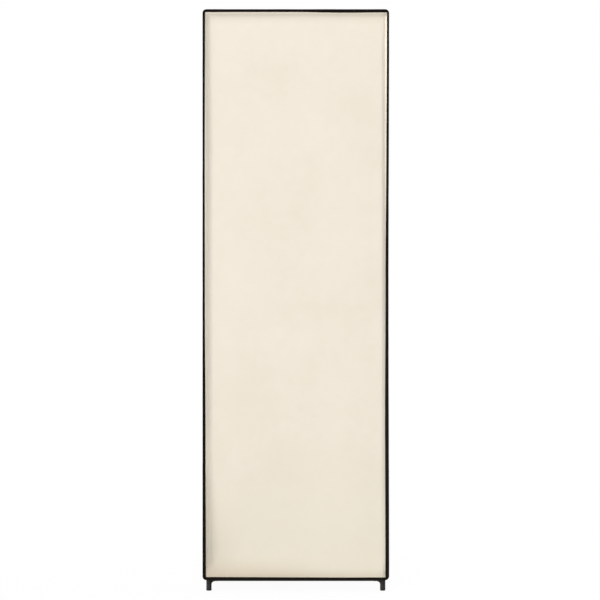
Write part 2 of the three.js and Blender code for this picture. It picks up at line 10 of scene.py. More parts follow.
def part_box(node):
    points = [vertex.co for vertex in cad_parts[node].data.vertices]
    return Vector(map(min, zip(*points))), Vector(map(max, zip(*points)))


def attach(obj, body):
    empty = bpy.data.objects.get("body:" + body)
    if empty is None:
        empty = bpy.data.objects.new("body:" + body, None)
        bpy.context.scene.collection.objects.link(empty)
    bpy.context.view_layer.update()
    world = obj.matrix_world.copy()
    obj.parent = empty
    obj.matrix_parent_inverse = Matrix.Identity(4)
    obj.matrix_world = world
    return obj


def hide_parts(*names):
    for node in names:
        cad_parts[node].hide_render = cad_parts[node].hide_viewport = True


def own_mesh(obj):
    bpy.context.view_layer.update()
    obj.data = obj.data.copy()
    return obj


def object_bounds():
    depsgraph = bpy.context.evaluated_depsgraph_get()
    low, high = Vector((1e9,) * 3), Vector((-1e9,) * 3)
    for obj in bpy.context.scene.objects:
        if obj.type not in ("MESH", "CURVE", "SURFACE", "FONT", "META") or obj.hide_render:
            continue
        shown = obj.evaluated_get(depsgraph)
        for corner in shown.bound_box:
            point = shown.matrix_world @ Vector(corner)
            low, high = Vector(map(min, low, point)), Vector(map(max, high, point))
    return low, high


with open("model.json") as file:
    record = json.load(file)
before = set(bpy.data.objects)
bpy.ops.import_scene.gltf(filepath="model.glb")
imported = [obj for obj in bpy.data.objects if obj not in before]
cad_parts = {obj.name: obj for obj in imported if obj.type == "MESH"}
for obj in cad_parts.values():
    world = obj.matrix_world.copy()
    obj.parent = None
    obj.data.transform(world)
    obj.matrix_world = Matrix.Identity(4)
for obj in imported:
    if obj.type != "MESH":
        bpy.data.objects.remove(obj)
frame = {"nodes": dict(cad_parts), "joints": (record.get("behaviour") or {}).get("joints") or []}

cad_low, cad_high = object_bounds()


# Camera
# It stands level with the middle of the wardrobe and square on to its left side, as in a catalogue
# picture, with the wardrobe a little left of the middle. The scale is that of the near side.
PICTURE_PIXELS = 600
WARDROBE_PIXELS_TALL = 582.35
WARDROBE_PIXELS_LEFT_OF_MIDDLE = 4.17
WARDROBE_PIXELS_BELOW_MIDDLE = 0.20
CAMERA_DISTANCE = 5.0
SENSOR_WIDTH_IN_MM = 36.0
CAMERA_REACH = 60.0

picture_width = (cad_high.z - cad_low.z) * PICTURE_PIXELS / WARDROBE_PIXELS_TALL
lens = bpy.data.cameras.new("camera")
lens.sensor_width = SENSOR_WIDTH_IN_MM
lens.lens = SENSOR_WIDTH_IN_MM * CAMERA_DISTANCE / picture_width
lens.shift_x = WARDROBE_PIXELS_LEFT_OF_MIDDLE / PICTURE_PIXELS
lens.shift_y = WARDROBE_PIXELS_BELOW_MIDDLE / PICTURE_PIXELS
lens.clip_end = CAMERA_REACH
camera = bpy.data.objects.new("camera", lens)
camera.location = (cad_low.x - CAMERA_DISTANCE, 0, (cad_low.z + cad_high.z) / 2)
camera.rotation_euler = (math.pi / 2, 0, -math.pi / 2)
bpy.context.collection.objects.link(camera)
bpy.context.scene.camera = camera
bpy.context.scene.view_settings.view_transform = "Standard"


# Floor and studio
# A plain white studio: the floor runs out into a white surround without a join, and shows only
# the faint shadow under the feet. Wide soft suns stand in for the softboxes.
FLOOR_HALF_WIDTH = 40.0
SHADOW_SHARE = 0.045
SURROUND_SHARE = 0.33
FLOOR_SHARE = 0.45
SUNS = {
    "softbox_behind": ((-0.75, 1.0, 0.3), 0.745, 50),
    "softbox_side": ((-1.0, 0.1, 0.25), 0.265, 50),
    "softbox_front": ((0.55, -1.0, 0.7), 0.56, 60),
    "softbox_right": ((1.0, 0.1, 0.9), 0.36, 80),
}


class Signal:
    """A value in a finish, so that sums on it are written as plain expressions"""

    def __init__(self, finish, socket):
        self.finish = finish
        self.socket = socket

    def sum(self, operation, *values):
        sockets = dict(enumerate(values))
        return self.finish.node("ShaderNodeMath", {"operation": operation}, sockets)

    def __add__(self, other):
        return self.sum("ADD", self, other)

    def __sub__(self, other):
        return self.sum("SUBTRACT", self, other)

    def __rsub__(self, other):
        return self.sum("SUBTRACT", other, self)

    def __mul__(self, other):
        return self.sum("MULTIPLY", self, other)

    __radd__ = __add__
    __rmul__ = __mul__

    def largest(self, other):
        return self.sum("MAXIMUM", self, other)

    def cosine(self):
        return self.sum("COSINE", self)

    def ramp(self, low, high):
        """0 below low, 1 above high and a smooth rise between them"""
        settings = {"interpolation_type": "SMOOTHSTEP"}
        sockets = {"Value": self, "From Min": low, "From Max": high}
        return self.finish.node("ShaderNodeMapRange", settings, sockets)


class Finish:
    """A material, or the surround, while its nodes are put together"""

    def __init__(self, owner):
        self.owner = owner
        owner.use_nodes = True
        self.tree = owner.node_tree
        self.tree.nodes.clear()

    def node(self, kind, settings, sockets, output=0):
        made = self.tree.nodes.new(kind)
        for name, value in settings.items():
            setattr(made, name, value)
        for name, value in sockets.items():
            if isinstance(value, Signal):
                self.tree.links.new(value.socket, made.inputs[name])
            else:
                made.inputs[name].default_value = value
        return Signal(self, made.outputs[output]) if made.outputs else made

    def seen_directly(self):
        """1 for what the camera sees, also in a mirror or through glass, and 0 for light on the object"""
        rays = ("Is Camera Ray", "Is Glossy Ray", "Is Transmission Ray")
        camera_ray, glossy, through = [self.node("ShaderNodeLightPath", {}, {}, ray) for ray in rays]
        return camera_ray.largest(glossy).largest(through)

    def mixed(self, share, one, other):
        """The shader one where share is 0 and other where it is 1"""
        return self.node("ShaderNodeMixShader", {}, {0: share, 1: one, 2: other})

    def blended(self, share, one, other):
        """The colour one where share is 0 and other where it is 1"""
        return self.node("ShaderNodeMix", {"data_type": "RGBA"}, {0: share, 6: one, 7: other}, 2)

    def grain(self, place, scale, detail=2.0):
        return self.node("ShaderNodeTexNoise", {}, {"Vector": place, "Scale": scale, "Detail": detail})

    def axis(self, place, way):
        return self.node("ShaderNodeSeparateXYZ", {}, {"Vector": place}, way)

    def raised(self, height, depth):
        """The normal of a surface that stands up by height times depth"""
        return self.node("ShaderNodeBump", {}, {"Height": height, "Distance": depth})

    def place(self, kind="Object"):
        """Where a point lies in metres, on the object or, with UV, on the flat cloth"""
        return self.node("ShaderNodeTexCoord", {}, {}, kind)

    def skinned(self, sockets):
        """The material, closed with a shader that has these values"""
        skin = self.node("ShaderNodeBsdfPrincipled", {}, sockets)
        self.node("ShaderNodeOutputMaterial", {}, {"Surface": skin})
        return self.owner


def seen_colour(red, green, blue):
    """A colour given as it looks on a screen, 0 to 255"""
    shares = [value / 255 for value in (red, green, blue)]
    return [s / 12.92 if s < 0.04 else ((s + 0.055) / 1.055) ** 2.4 for s in shares] + [1.0]


WHITE = seen_colour(255, 255, 255)
surround = Finish(bpy.data.worlds.new("surround"))
bpy.context.scene.world = surround.owner
light_on_object = surround.node("ShaderNodeBackground", {}, {"Color": WHITE, "Strength": SURROUND_SHARE})
seen_white = surround.node("ShaderNodeBackground", {}, {"Color": WHITE, "Strength": 1.0})
sky = surround.mixed(surround.seen_directly(), light_on_object, seen_white)
surround.node("ShaderNodeOutputWorld", {}, {"Surface": sky})

studio_floor = Finish(bpy.data.materials.new("studio_floor"))
floor_colour = [FLOOR_SHARE] * 3 + [1.0]
lit = studio_floor.node("ShaderNodeBsdfDiffuse", {}, {"Color": floor_colour})
lit_white = studio_floor.node("ShaderNodeBsdfDiffuse", {}, {"Color": WHITE})
glow = studio_floor.node("ShaderNodeEmission", {}, {"Color": WHITE})
seen_floor = studio_floor.mixed(SHADOW_SHARE, glow, lit_white)
floor_skin = studio_floor.mixed(studio_floor.seen_directly(), lit, seen_floor)
studio_floor.node("ShaderNodeOutputMaterial", {}, {"Surface": floor_skin})

floor_mesh = bmesh.new()
bmesh.ops.create_grid(floor_mesh, x_segments=1, y_segments=1, size=FLOOR_HALF_WIDTH)
floor_data = bpy.data.meshes.new("floor")
floor_mesh.to_mesh(floor_data)
floor_mesh.free()
floor_data.materials.append(studio_floor.owner)
floor = bpy.data.objects.new("floor", floor_data)
bpy.context.collection.objects.link(floor)

for lamp_name, (lamp_from, share, spread) in SUNS.items():
    sun = bpy.data.lights.new(lamp_name, "SUN")
    sun.energy = share * math.pi
    sun.angle = math.radians(spread)
    lamp = bpy.data.objects.new(lamp_name, sun)
    lamp.rotation_euler = Vector(lamp_from).to_track_quat("Z", "Y").to_euler()
    bpy.context.collection.objects.link(lamp)


# Frame tubes
# Thin steel tube, 16 mm across and powder coated black, cut to length for the uprights, the rails
# and the hanging rail. The ends are left open and slip over the connectors' spigots.
TUBE_WALL = 0.0005
TUBE_RIM_EASE = 0.00012
TUBE_SIDES = 40
PEEL_DEPTH = 0.00012
BODY = "frame_and_cover"
LEVELS = ("bottom", "shelf", "top")
SIDES = {"left": -1, "right": 1}
ENDS = {"front": -1, "back": 1}
SHARP_EDGE = math.radians(38)
ALONG = {0: Vector((1, 0, 0)), 1: Vector((0, 1, 0)), 2: Vector((0, 0, 1))}


def turned(mesh, outline, foot, way, sides):
    """Turns an outline of (distance out, distance along) round the line that runs from foot"""
    there = set(mesh.verts)
    corners = [mesh.verts.new((out, 0, along)) for out, along in outline]
    edges = [mesh.edges.new(pair) for pair in zip(corners, corners[1:])]
    bmesh.ops.spin(
        mesh, geom=corners + edges, cent=(0, 0, 0), axis=(0, 0, 1), dvec=(0, 0, 0), angle=math.tau,
        steps=sides, use_merge=True, use_normal_flip=False, use_duplicate=False, space=Matrix.Identity(4),
    )
    spun = [vert for vert in mesh.verts if vert not in there]
    bmesh.ops.remove_doubles(mesh, verts=spun, dist=TUBE_RIM_EASE / 100)
    spun = [vert for vert in mesh.verts if vert not in there]
    turn = Vector(way).to_track_quat("Z", "Y").to_matrix().to_4x4()
    bmesh.ops.transform(mesh, matrix=Matrix.Translation(foot) @ turn, verts=spun)


def pipe_outline(inner, outer, length, ease, inner_ease):
    """The section of a pipe with eased rims, as (distance out, distance along)"""
    near = [(inner, ease), (inner + inner_ease, 0), (outer - ease, 0), (outer, ease)]
    return near + [(out, length - along) for out, along in reversed(near)] + near[:1]


def eased(mesh, geom, offset, segments, affect="EDGES"):
    """Rounds these edges or corners of a mesh"""
    bmesh.ops.bevel(
        mesh, geom=geom, offset=offset, offset_type="OFFSET", segments=segments, profile=0.5,
        affect=affect, material=-1, clamp_overlap=affect == "EDGES",
    )


def piece(name, mesh, finish, nodes=(), body=BODY, thickness=None):
    """Makes a bmesh into a piece that rides on a body and stands for its CAD nodes

    With a thickness the mesh is a sheet, and without one it is closed.
    """
    if thickness is None:
        bmesh.ops.recalc_face_normals(mesh, faces=mesh.faces)
    data = bpy.data.meshes.new(name)
    mesh.to_mesh(data)
    mesh.free()
    data.shade_smooth()
    data.set_sharp_from_angle(angle=SHARP_EDGE)
    data.materials.append(finish)
    made = bpy.data.objects.new(name, data)
    bpy.context.collection.objects.link(made)
    if thickness is not None:
        solid = made.modifiers.new("thickness", "SOLIDIFY")
        solid.thickness = thickness
        solid.offset = 0
        solid.use_even_offset = True
    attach(made, body)
    if nodes:
        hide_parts(*nodes)
    return made


def powder_coat():
    """Black powder coat: a fine orange peel, slightly dusty, rubbed a little brighter in places"""
    coat = Finish(bpy.data.materials.new("black_powder_coat"))
    place = coat.place()
    peel = coat.grain(place, 900.0)
    rubbed = coat.grain(place, 26.0, 4.0).ramp(0.45, 0.75)
    colour = coat.blended(rubbed, seen_colour(22, 19, 15), seen_colour(36, 31, 26))
    roughness = 0.40 + 0.12 * peel + 0.10 * rubbed
    sockets = {
        "Base Color": colour, "Roughness": roughness, "Normal": coat.raised(peel, PEEL_DEPTH),
        "Specular IOR Level": 0.22,
    }
    return coat.skinned(sockets)


tube_coat = powder_coat()
tube_nodes = [name for name in frame["nodes"] if name.startswith("upright_") or "rail_" in name]
tube_nodes = sorted(name for name in tube_nodes if not name.startswith("rail_tee")) + ["hanging_rail"]
for node in tube_nodes:
    low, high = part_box(node)
    size = high - low
    along = max(range(3), key=lambda axis: size[axis])
    radius = sorted(size)[1] / 2
    length = size[along]
    rim = pipe_outline(radius - TUBE_WALL, radius, length, TUBE_RIM_EASE, TUBE_RIM_EASE)
    foot = (low + high) / 2 - ALONG[along] * length / 2
    mesh = bmesh.new()
    turned(mesh, rim, foot, ALONG[along], TUBE_SIDES)
    piece("tube_" + node, mesh, tube_coat, [node])


# Connectors and feet
# Injection-moulded black plastic: a hub with round arms that end in spigots inside the tubes, a
# moulded ring at each shoulder, and on the feet two thin webs and a grey cap pushed on the leg.
ARM_LENGTH = 0.024
SPIGOT_LENGTH = 0.022
SPIGOT_RADIUS = 0.00715
SPIGOT_LEAD = 0.0015
RING_RISE = 0.0005
RING_LENGTH = 0.004
RING_EASE = 0.0004
CONNECTOR_SIDES = 36
LEG_RADIUS = 0.0068
FOOT_RADIUS = 0.0073
CAP_HEIGHT = 0.0176
CAP_EASE = 0.0012
CAP_GROOVE = 0.0003
WEB_START = 0.0178
WEB_LENGTH = 0.020
WEB_THICKNESS = 0.003
WEB_EDGE = 0.0005
SPARK_DEPTH = 0.00010
WEB_CURVE_SHARES = [(0.37, 0), (0.39, 0.22), (0.43, 0.45), (0.51, 0.66), (0.62, 0.82), (0.80, 0.95), (1, 1)]

upright_low, upright_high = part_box("upright_lower_back_right")
HALF_X = (upright_low.x + upright_high.x) / 2
HALF_Y = (upright_low.y + upright_high.y) / 2
TUBE_RADIUS = (upright_high.x - upright_low.x) / 2
heights = {level: sum(corner.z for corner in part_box(f"{level}_rail_back")) / 2 for level in LEVELS}


def moulded_plastic(name, dark, light):
    """Moulded plastic with a fine spark-eroded grain and faint cloudy flow marks"""
    mould = Finish(bpy.data.materials.new(name))
    place = mould.place()
    spark = mould.grain(place, 1600.0, 3.0)
    flow = mould.grain(place, 60.0, 3.0).ramp(0.35, 0.70)
    sockets = {
        "Base Color": mould.blended(flow, dark, light), "Roughness": 0.46 + 0.14 * spark,
        "Normal": mould.raised(spark, SPARK_DEPTH), "Specular IOR Level": 0.22,
    }
    return mould.skinned(sockets)


def arm(mesh, hub, way):
    """A shoulder as thick as the tubes, with a moulded ring at its end, then the spigot"""
    end = ARM_LENGTH + SPIGOT_LENGTH
    outline = [
        (0, 0), (TUBE_RADIUS, 0), (TUBE_RADIUS, ARM_LENGTH - RING_LENGTH),
        (TUBE_RADIUS + RING_RISE, ARM_LENGTH - RING_LENGTH + RING_RISE),
        (TUBE_RADIUS + RING_RISE, ARM_LENGTH - RING_EASE),
        (TUBE_RADIUS + RING_RISE - RING_EASE, ARM_LENGTH),
        (SPIGOT_RADIUS, ARM_LENGTH), (SPIGOT_RADIUS, end - SPIGOT_LEAD),
        (SPIGOT_RADIUS - SPIGOT_LEAD / 2, end), (0, end),
    ]
    turned(mesh, outline, hub, way, CONNECTOR_SIDES)


def web(mesh, hub, way):
    """The thin curved web in the angle between a foot's leg and one of its arms"""
    rise = hub.z - TUBE_RADIUS - WEB_START
    curve = [(out * WEB_LENGTH, WEB_START + up * rise) for out, up in WEB_CURVE_SHARES]
    outline = [(0, hub.z), (0, WEB_START), *curve, (WEB_LENGTH, hub.z)]
    across = way.cross(ALONG[2]) * WEB_THICKNESS / 2
    ground = Vector((hub.x, hub.y, 0))
    corners = [mesh.verts.new(ground + way * out + ALONG[2] * up - across) for out, up in outline]
    side = mesh.faces.new(corners)
    pushed = bmesh.ops.extrude_face_region(mesh, geom=[side])
    moved = [v for v in pushed["geom"] if isinstance(v, bmesh.types.BMVert)]
    bmesh.ops.translate(mesh, vec=across * 2, verts=moved)
    rims = [e for e in mesh.edges if all(v in corners for v in e.verts) or all(v in moved for v in e.verts)]
    eased(mesh, rims, WEB_EDGE, 2)


connector_plastic = moulded_plastic("connector_black", seen_colour(26, 22, 17), seen_colour(38, 33, 26))
cap_plastic = moulded_plastic("foot_cap_grey", seen_colour(34, 36, 32), seen_colour(45, 48, 43))
for end_name, end in ENDS.items():
    for side_name, side in SIDES.items():
        inward_x = ALONG[0] * -side
        inward_y = ALONG[1] * -end
        for level, ways in {"bottom": (1,), "shelf": (1, -1), "top": (-1,)}.items():
            hub = Vector((side * HALF_X, end * HALF_Y, heights[level]))
            mesh = bmesh.new()
            for way in [inward_x, inward_y, *[ALONG[2] * up for up in ways]]:
                arm(mesh, hub, way)
            if level != "shelf":
                bmesh.ops.create_uvsphere(
                    mesh, u_segments=CONNECTOR_SIDES, v_segments=CONNECTOR_SIDES // 2,
                    radius=TUBE_RADIUS, matrix=Matrix.Translation(hub),
                )
            node = f"{level}_connector_{end_name}_{side_name}".replace("bottom", "foot")
            if level == "bottom":
                ground = Vector((hub.x, hub.y, 0))
                leg = [
                    (0, CAP_HEIGHT - CAP_EASE), (LEG_RADIUS, CAP_HEIGHT - CAP_EASE),
                    (LEG_RADIUS, CAP_HEIGHT + CAP_GROOVE),
                    (FOOT_RADIUS, CAP_HEIGHT + CAP_GROOVE * 2), (FOOT_RADIUS, hub.z), (0, hub.z),
                ]
                turned(mesh, leg, ground, ALONG[2], CONNECTOR_SIDES)
                web(mesh, hub, inward_x)
                web(mesh, hub, inward_y)
                cap = bmesh.new()
                cap_outline = [
                    (0, 0), (FOOT_RADIUS - CAP_EASE, 0), (FOOT_RADIUS - CAP_EASE / 4, CAP_EASE / 4),
                    (FOOT_RADIUS, CAP_EASE), (FOOT_RADIUS, CAP_HEIGHT - CAP_GROOVE),
                    (FOOT_RADIUS - CAP_GROOVE, CAP_HEIGHT), (0, CAP_HEIGHT),
                ]
                turned(cap, cap_outline, ground, ALONG[2], CONNECTOR_SIDES)
                cap_name = f"foot_cap_{end_name}_{side_name}"
                piece(cap_name, cap, cap_plastic)
            piece("moulded_" + node, mesh, connector_plastic, [node])

for side_name, side in SIDES.items():
    hub = Vector((side * HALF_X, 0, heights["top"]))
    mesh = bmesh.new()
    for way in (ALONG[0] * -side, ALONG[1], -ALONG[1]):
        arm(mesh, hub, way)
    node = f"rail_tee_{side_name}"
    piece("moulded_" + node, mesh, connector_plastic, [node])


# Cover: side panels
# Cream spunbonded cloth, cut as one plain rectangle a side. It lies over the outer faces of the
# tubes, dips behind them, and flares out to the piping that is sewn into its corners.
CLOTH_THICKNESS = 0.0008
CLOTH_CLEAR_OF_TUBE = 0.001
FIN_REACH = 0.01155
FIN_OUT = 0.01235
FIN_SLOPE = 0.60
VALLEY_EASE = 0.0010
SEAM_OUT = 0.0150
BACK_SLOPE = 0.66
TOP_SLOPE = 0.82
BEND_STOP = 0.004
TOP_BEND = 0.009
TOP_LIP = 0.0060
# At even steps upward: how wide the bend behind the back upright is, how wide the flat lip beside the
# back cord is, and how steeply the cloth falls at the front upright
BACK_BEND = (0.021, 0.012, 0.010, 0.011, 0.005)
BACK_LIP = (0.0010, 0.0040, 0.0030, 0.0034, 0.0010)
FRONT_FALL = (0.12, 0.26, 0.32, 0.36, 0.36)
FRONT_BEND = 0.0045
FRONT_FIN_SLOPE = 1.6
TUBE_GAP = 0.0002
CORNER_ROUND = 0.0053
HEM_FLARE = 0.005
HEM_FLARE_HEIGHT = 0.070
HEM_BELLY = 0.0022
HEM_BELLY_HEIGHT = 0.085
HEM_TURN = 0.008
HEM_EDGE_OUT = 0.0130
PANEL_STEP = 0.009
FIN_STEP_SHARES = (0.0, 0.10, 0.20, 0.30, 0.40, 0.50, 0.58, 0.66, 0.72, 0.78, 0.84, 0.90, 0.95, 1.0)
FIN_START = -0.012
BILLOW = 0.0022
RIPPLE = 0.0007
PUCKER = 0.00035
PUCKER_LENGTH = 0.030
BILLOW_FADE = 0.09
FRONT_CROWN = 0.0010
TOP_CROWN_WIDTH = 0.100
HEM_CROWN_WIDTH = 0.040
SHELF_FADE = 0.090
SHEET_CROWN = 0.0015
SHEET_CROWN_WIDTH = 0.024
STEP_SLACK = 0.001
FIBRE_DEPTH = 0.00008
BONDS_PER_METRE = 620.0
# Between which heights, and which places from front to back, the cloth is darkened with painted shade: low
# down, along the top seam, above the hem, low towards the back and in a low band at the back
PAINTED_SHADE_LOW = (0.02, 0.62)
PAINTED_SHADE_TOP = (1.545, 1.585)
PAINTED_SHADE_HEM = (0.036, 0.066)
PAINTED_SHADE_BACK_HEIGHTS = (0.05, 0.30)
PAINTED_SHADE_BACK_PLACES = (0.12, 0.25)
PAINTED_SHADE_CORNER_HEIGHTS = (0.055, 0.100)
PAINTED_SHADE_CORNER_PLACES = (-0.15, 0.12)
# Layers of smooth noise: the share of each, how often it turns in a metre across, aslant and up, and a seed
SWELLS = ((0.36, 3.1, 0.0, 1.5, 0.0), (0.20, 7.3, 1.3, 3.4, 5.0))
RIPPLES = ((0.6, 24.0, -4.0, 13.0, 0.0), (0.3, 50.0, 0.0, 34.0, 9.0))

UNDER_CLOTH = TUBE_RADIUS + TUBE_GAP + CLOTH_THICKNESS / 2
CLOTH_RADIUS = TUBE_RADIUS + CLOTH_CLEAR_OF_TUBE + CLOTH_THICKNESS / 2
TOP_RAIL = heights["top"]
HEM_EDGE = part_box("cover_back")[0].z


def even_steps(start, stop, step):
    """Places from start to stop, as far apart as step or a little less"""
    count = max(1, math.ceil(abs(stop - start) / step - STEP_SLACK))
    return [start + (stop - start) * i / count for i in range(count + 1)]


def mirrored(places):
    """The same places on the other side of the middle"""
    return [-place for place in reversed(places)]


def clamped(value):
    """The value, or 0 below 0 and 1 above 1"""
    return min(1.0, max(0.0, value))


def smooth(value):
    """0 below 0, 1 above 1 and a smooth rise between them"""
    share = clamped(value)
    return share * share * (3 - 2 * share)


def eased_larger(one, other):
    """The larger of two heights, with the valley between them eased"""
    near = max(0.0, 1 - abs(one - other) / VALLEY_EASE)
    return max(one, other) + VALLEY_EASE * near * near / 4


def arch(radius, past):
    """How far a round stands out where it is this far past its middle line"""
    return math.sqrt(max(0.0, radius ** 2 - past ** 2))


def stand_off(past):
    """How far the cloth stands out where it is this far past a tube's middle line"""
    return eased_larger(arch(CLOTH_RADIUS, max(0.0, past)), FIN_OUT - (FIN_REACH - past) * FIN_SLOPE)


def bent(past, start, stop):
    """A rise that bends up from start to stop and goes on as steep as one in one"""
    if past <= start:
        return 0.0
    if past >= stop:
        return (stop - start) / 2 + past - stop
    return (past - start) ** 2 / (2 * (stop - start))


def along_scale(values, share):
    """Reads a short scale of sizes at a share of the way from its first to its last"""
    place = clamped(share) * (len(values) - 1)
    first = min(int(place), len(values) - 2)
    return values[first] + (values[first + 1] - values[first]) * smooth(place - first)


def at_height(values, up):
    """Reads a scale that runs from the hem to the top rail"""
    return along_scale(values, (up - HEM_EDGE) / (TOP_RAIL - HEM_EDGE))


def rounded(across, along):
    """Rounds a sheet's corner; both values are lengths past the middle of the corner's round"""
    if across <= 0 or along <= 0:
        return across, along
    p = across / CORNER_ROUND
    q = along / CORNER_ROUND
    return across * math.sqrt(1 - q * q / 2), along * math.sqrt(1 - p * p / 2)


def layered(layers, u, v, seed):
    """Smooth noise in layers"""
    total = 0.0
    for share, across, slant, up, own in layers:
        total += share * noise.noise(Vector((u * across + v * slant, v * up, seed + own)))
    return total


def loose(u, v, seed):
    """The slow swell of cloth that hangs loosely, from 0 to 1"""
    return 0.5 + layered(SWELLS, u, v, seed)


def ripple(u, v, seed):
    """The fine ripples in cloth that has been handled"""
    return layered(RIPPLES, u, v, seed)


def edge_fade(inside):
    """0 at a tube's middle line and 1 well inside the panel"""
    return smooth(inside / BILLOW_FADE)


def fin_steps(half):
    """Places across the last stretch of a panel, over the tube and out to the piping"""
    return [half + FIN_START + (FIN_REACH - FIN_START) * share for share in FIN_STEP_SHARES]


def across_panel(half):
    """Places across a whole panel, close together at both edges"""
    fins = fin_steps(half)
    return mirrored(fins) + even_steps(-fins[0], fins[0], PANEL_STEP)[1:-1] + fins


def cloth_sheet(columns, rows, placed):
    """A grid of cloth that is placed point by point, with its flat size as its UV map"""
    mesh = bmesh.new()
    flat = mesh.loops.layers.uv.new("flat")
    wide = len(columns) - 1
    tall = len(rows) - 1
    bmesh.ops.create_grid(mesh, x_segments=wide, y_segments=tall, size=0.5)
    spot = {}
    for vert in mesh.verts:
        column = columns[round((vert.co.x + 0.5) * wide)]
        row = rows[round((vert.co.y + 0.5) * tall)]
        spot[vert.index] = (column, row)
        vert.co = placed(column, row)
    for face in mesh.faces:
        for loop in face.loops:
            loop[flat].uv = spot[loop.vert.index]
    return mesh


def cut_size(columns, rows, placed):
    """The size a sheet was cut to, measured along its middle lines"""
    middle_row = rows[len(rows) // 2]
    middle_column = columns[len(columns) // 2]
    across = [Vector(placed(column, middle_row)) for column in columns]
    up = [Vector(placed(middle_column, row)) for row in rows]
    return [sum((b - a).length for a, b in zip(line, line[1:])) for line in (across, up)]


def spunbond():
    """Cream spunbonded cloth: fine fibres bonded in a lattice of tiny dots, faintly cloudy, with painted
    shade low down, above the hem, towards the back and along the top seam
    """
    cloth = Finish(bpy.data.materials.new("cream_spunbond"))
    place = cloth.place()
    flat = cloth.place("UV")
    turn = math.tau * BONDS_PER_METRE
    dots = (cloth.axis(flat, "X") * turn).cosine() * (cloth.axis(flat, "Y") * turn).cosine()
    bond = dots.ramp(0.25, 0.75)
    fibre = cloth.grain(flat, 2600.0, 3.0)
    cloud = cloth.grain(place, 5.5, 3.0)
    patch = cloth.grain(place, 38.0, 2.0)
    height = cloth.axis(place, "Z")
    # Painted shade: the cloth is tinted darker the lower it is, below 0.62 m
    painted_shade_low = 1 - height.ramp(*PAINTED_SHADE_LOW)
    # Painted shade: a darker band along the top seam
    painted_shade_top = height.ramp(*PAINTED_SHADE_TOP)
    # Painted shade: a darker band just above the hem, made uneven by the cloud noise
    painted_shade_hem = (1 - height.ramp(*PAINTED_SHADE_HEM)) * (0.6 + 0.4 * cloud)
    # Painted shade: the cloth darker low down and towards the back
    painted_shade_back = (1 - height.ramp(*PAINTED_SHADE_BACK_HEIGHTS)) * cloth.axis(place, "Y").ramp(*PAINTED_SHADE_BACK_PLACES)
    # Painted shade: a low band near the hem, darker towards the back corner
    painted_shade_corner = (1 - height.ramp(*PAINTED_SHADE_CORNER_HEIGHTS)) * cloth.axis(place, "Y").ramp(*PAINTED_SHADE_CORNER_PLACES)
    tone = 0.55 * cloud + 0.25 * patch + 0.2 * fibre
    colour = cloth.blended(tone.ramp(0.3, 0.7), seen_colour(240, 231, 214), seen_colour(245, 236, 222))
    tints = [
        (bond * 0.35, (232, 222, 203)), (painted_shade_top * 0.60, (222, 212, 196)),
        (painted_shade_low * 0.40, (234, 227, 204)), (painted_shade_back * 0.45, (216, 205, 190)),
        (painted_shade_hem * 0.70, (208, 196, 174)), (painted_shade_corner * 0.32, (206, 188, 164)),
    ]
    for share, seen in tints:
        colour = cloth.blended(share, colour, seen_colour(*seen))
    relief = 0.55 * fibre - 0.45 * bond
    sockets = {
        "Base Color": colour, "Roughness": 0.86 - 0.12 * bond, "Normal": cloth.raised(relief, FIBRE_DEPTH),
        "Specular IOR Level": 0.35, "Sheen Weight": 0.10, "Sheen Roughness": 0.5,
    }
    return cloth.skinned(sockets)


def panel_crown(across, up, half):
    """How far a side panel stands out past its tubes: it is drawn in at the back, most at the foot"""
    back_rise = bent(FIN_REACH - at_height(BACK_LIP, up), -at_height(BACK_BEND, up), BEND_STOP)
    back_crown = SEAM_OUT - BACK_SLOPE * back_rise - CLOTH_RADIUS
    top_crown = SEAM_OUT - TOP_SLOPE * bent(FIN_REACH - TOP_LIP, -TOP_BEND, BEND_STOP) - CLOTH_RADIUS
    back_crown *= smooth((abs(up - heights["shelf"]) - TUBE_RADIUS) / SHELF_FADE)
    crown = FRONT_CROWN + (back_crown - FRONT_CROWN) * smooth((across + half) / (2 * half))
    crown += HEM_BELLY * (1 - smooth((up - HEM_EDGE) / HEM_BELLY_HEIGHT))
    crown *= smooth((up - HEM_EDGE - HEM_TURN) / HEM_CROWN_WIDTH)
    return top_crown + (crown - top_crown) * smooth((TOP_RAIL - up) / TOP_CROWN_WIDTH)


def panel_relief(across, up, half, seed):
    """How far a side panel swells out of flat at this place"""
    inside = min(half - abs(across), TOP_RAIL - up, up - HEM_EDGE)
    swell = BILLOW * loose(across, up, seed) * edge_fade(inside)
    fine = RIPPLE * ripple(across, up, seed) * edge_fade(inside)
    to_edge = half + FIN_START / 2 - abs(across)
    beside = up if to_edge < TOP_RAIL - up else across
    reach = min(abs(to_edge), abs(TOP_RAIL + FIN_START / 2 - up))
    gathers = noise.noise(Vector((beside / PUCKER_LENGTH, 0, seed + 3.0)))
    pucker = PUCKER * gathers * (1 - smooth(reach / PUCKER_LENGTH))
    return panel_crown(across, up, half) + swell + fine + pucker


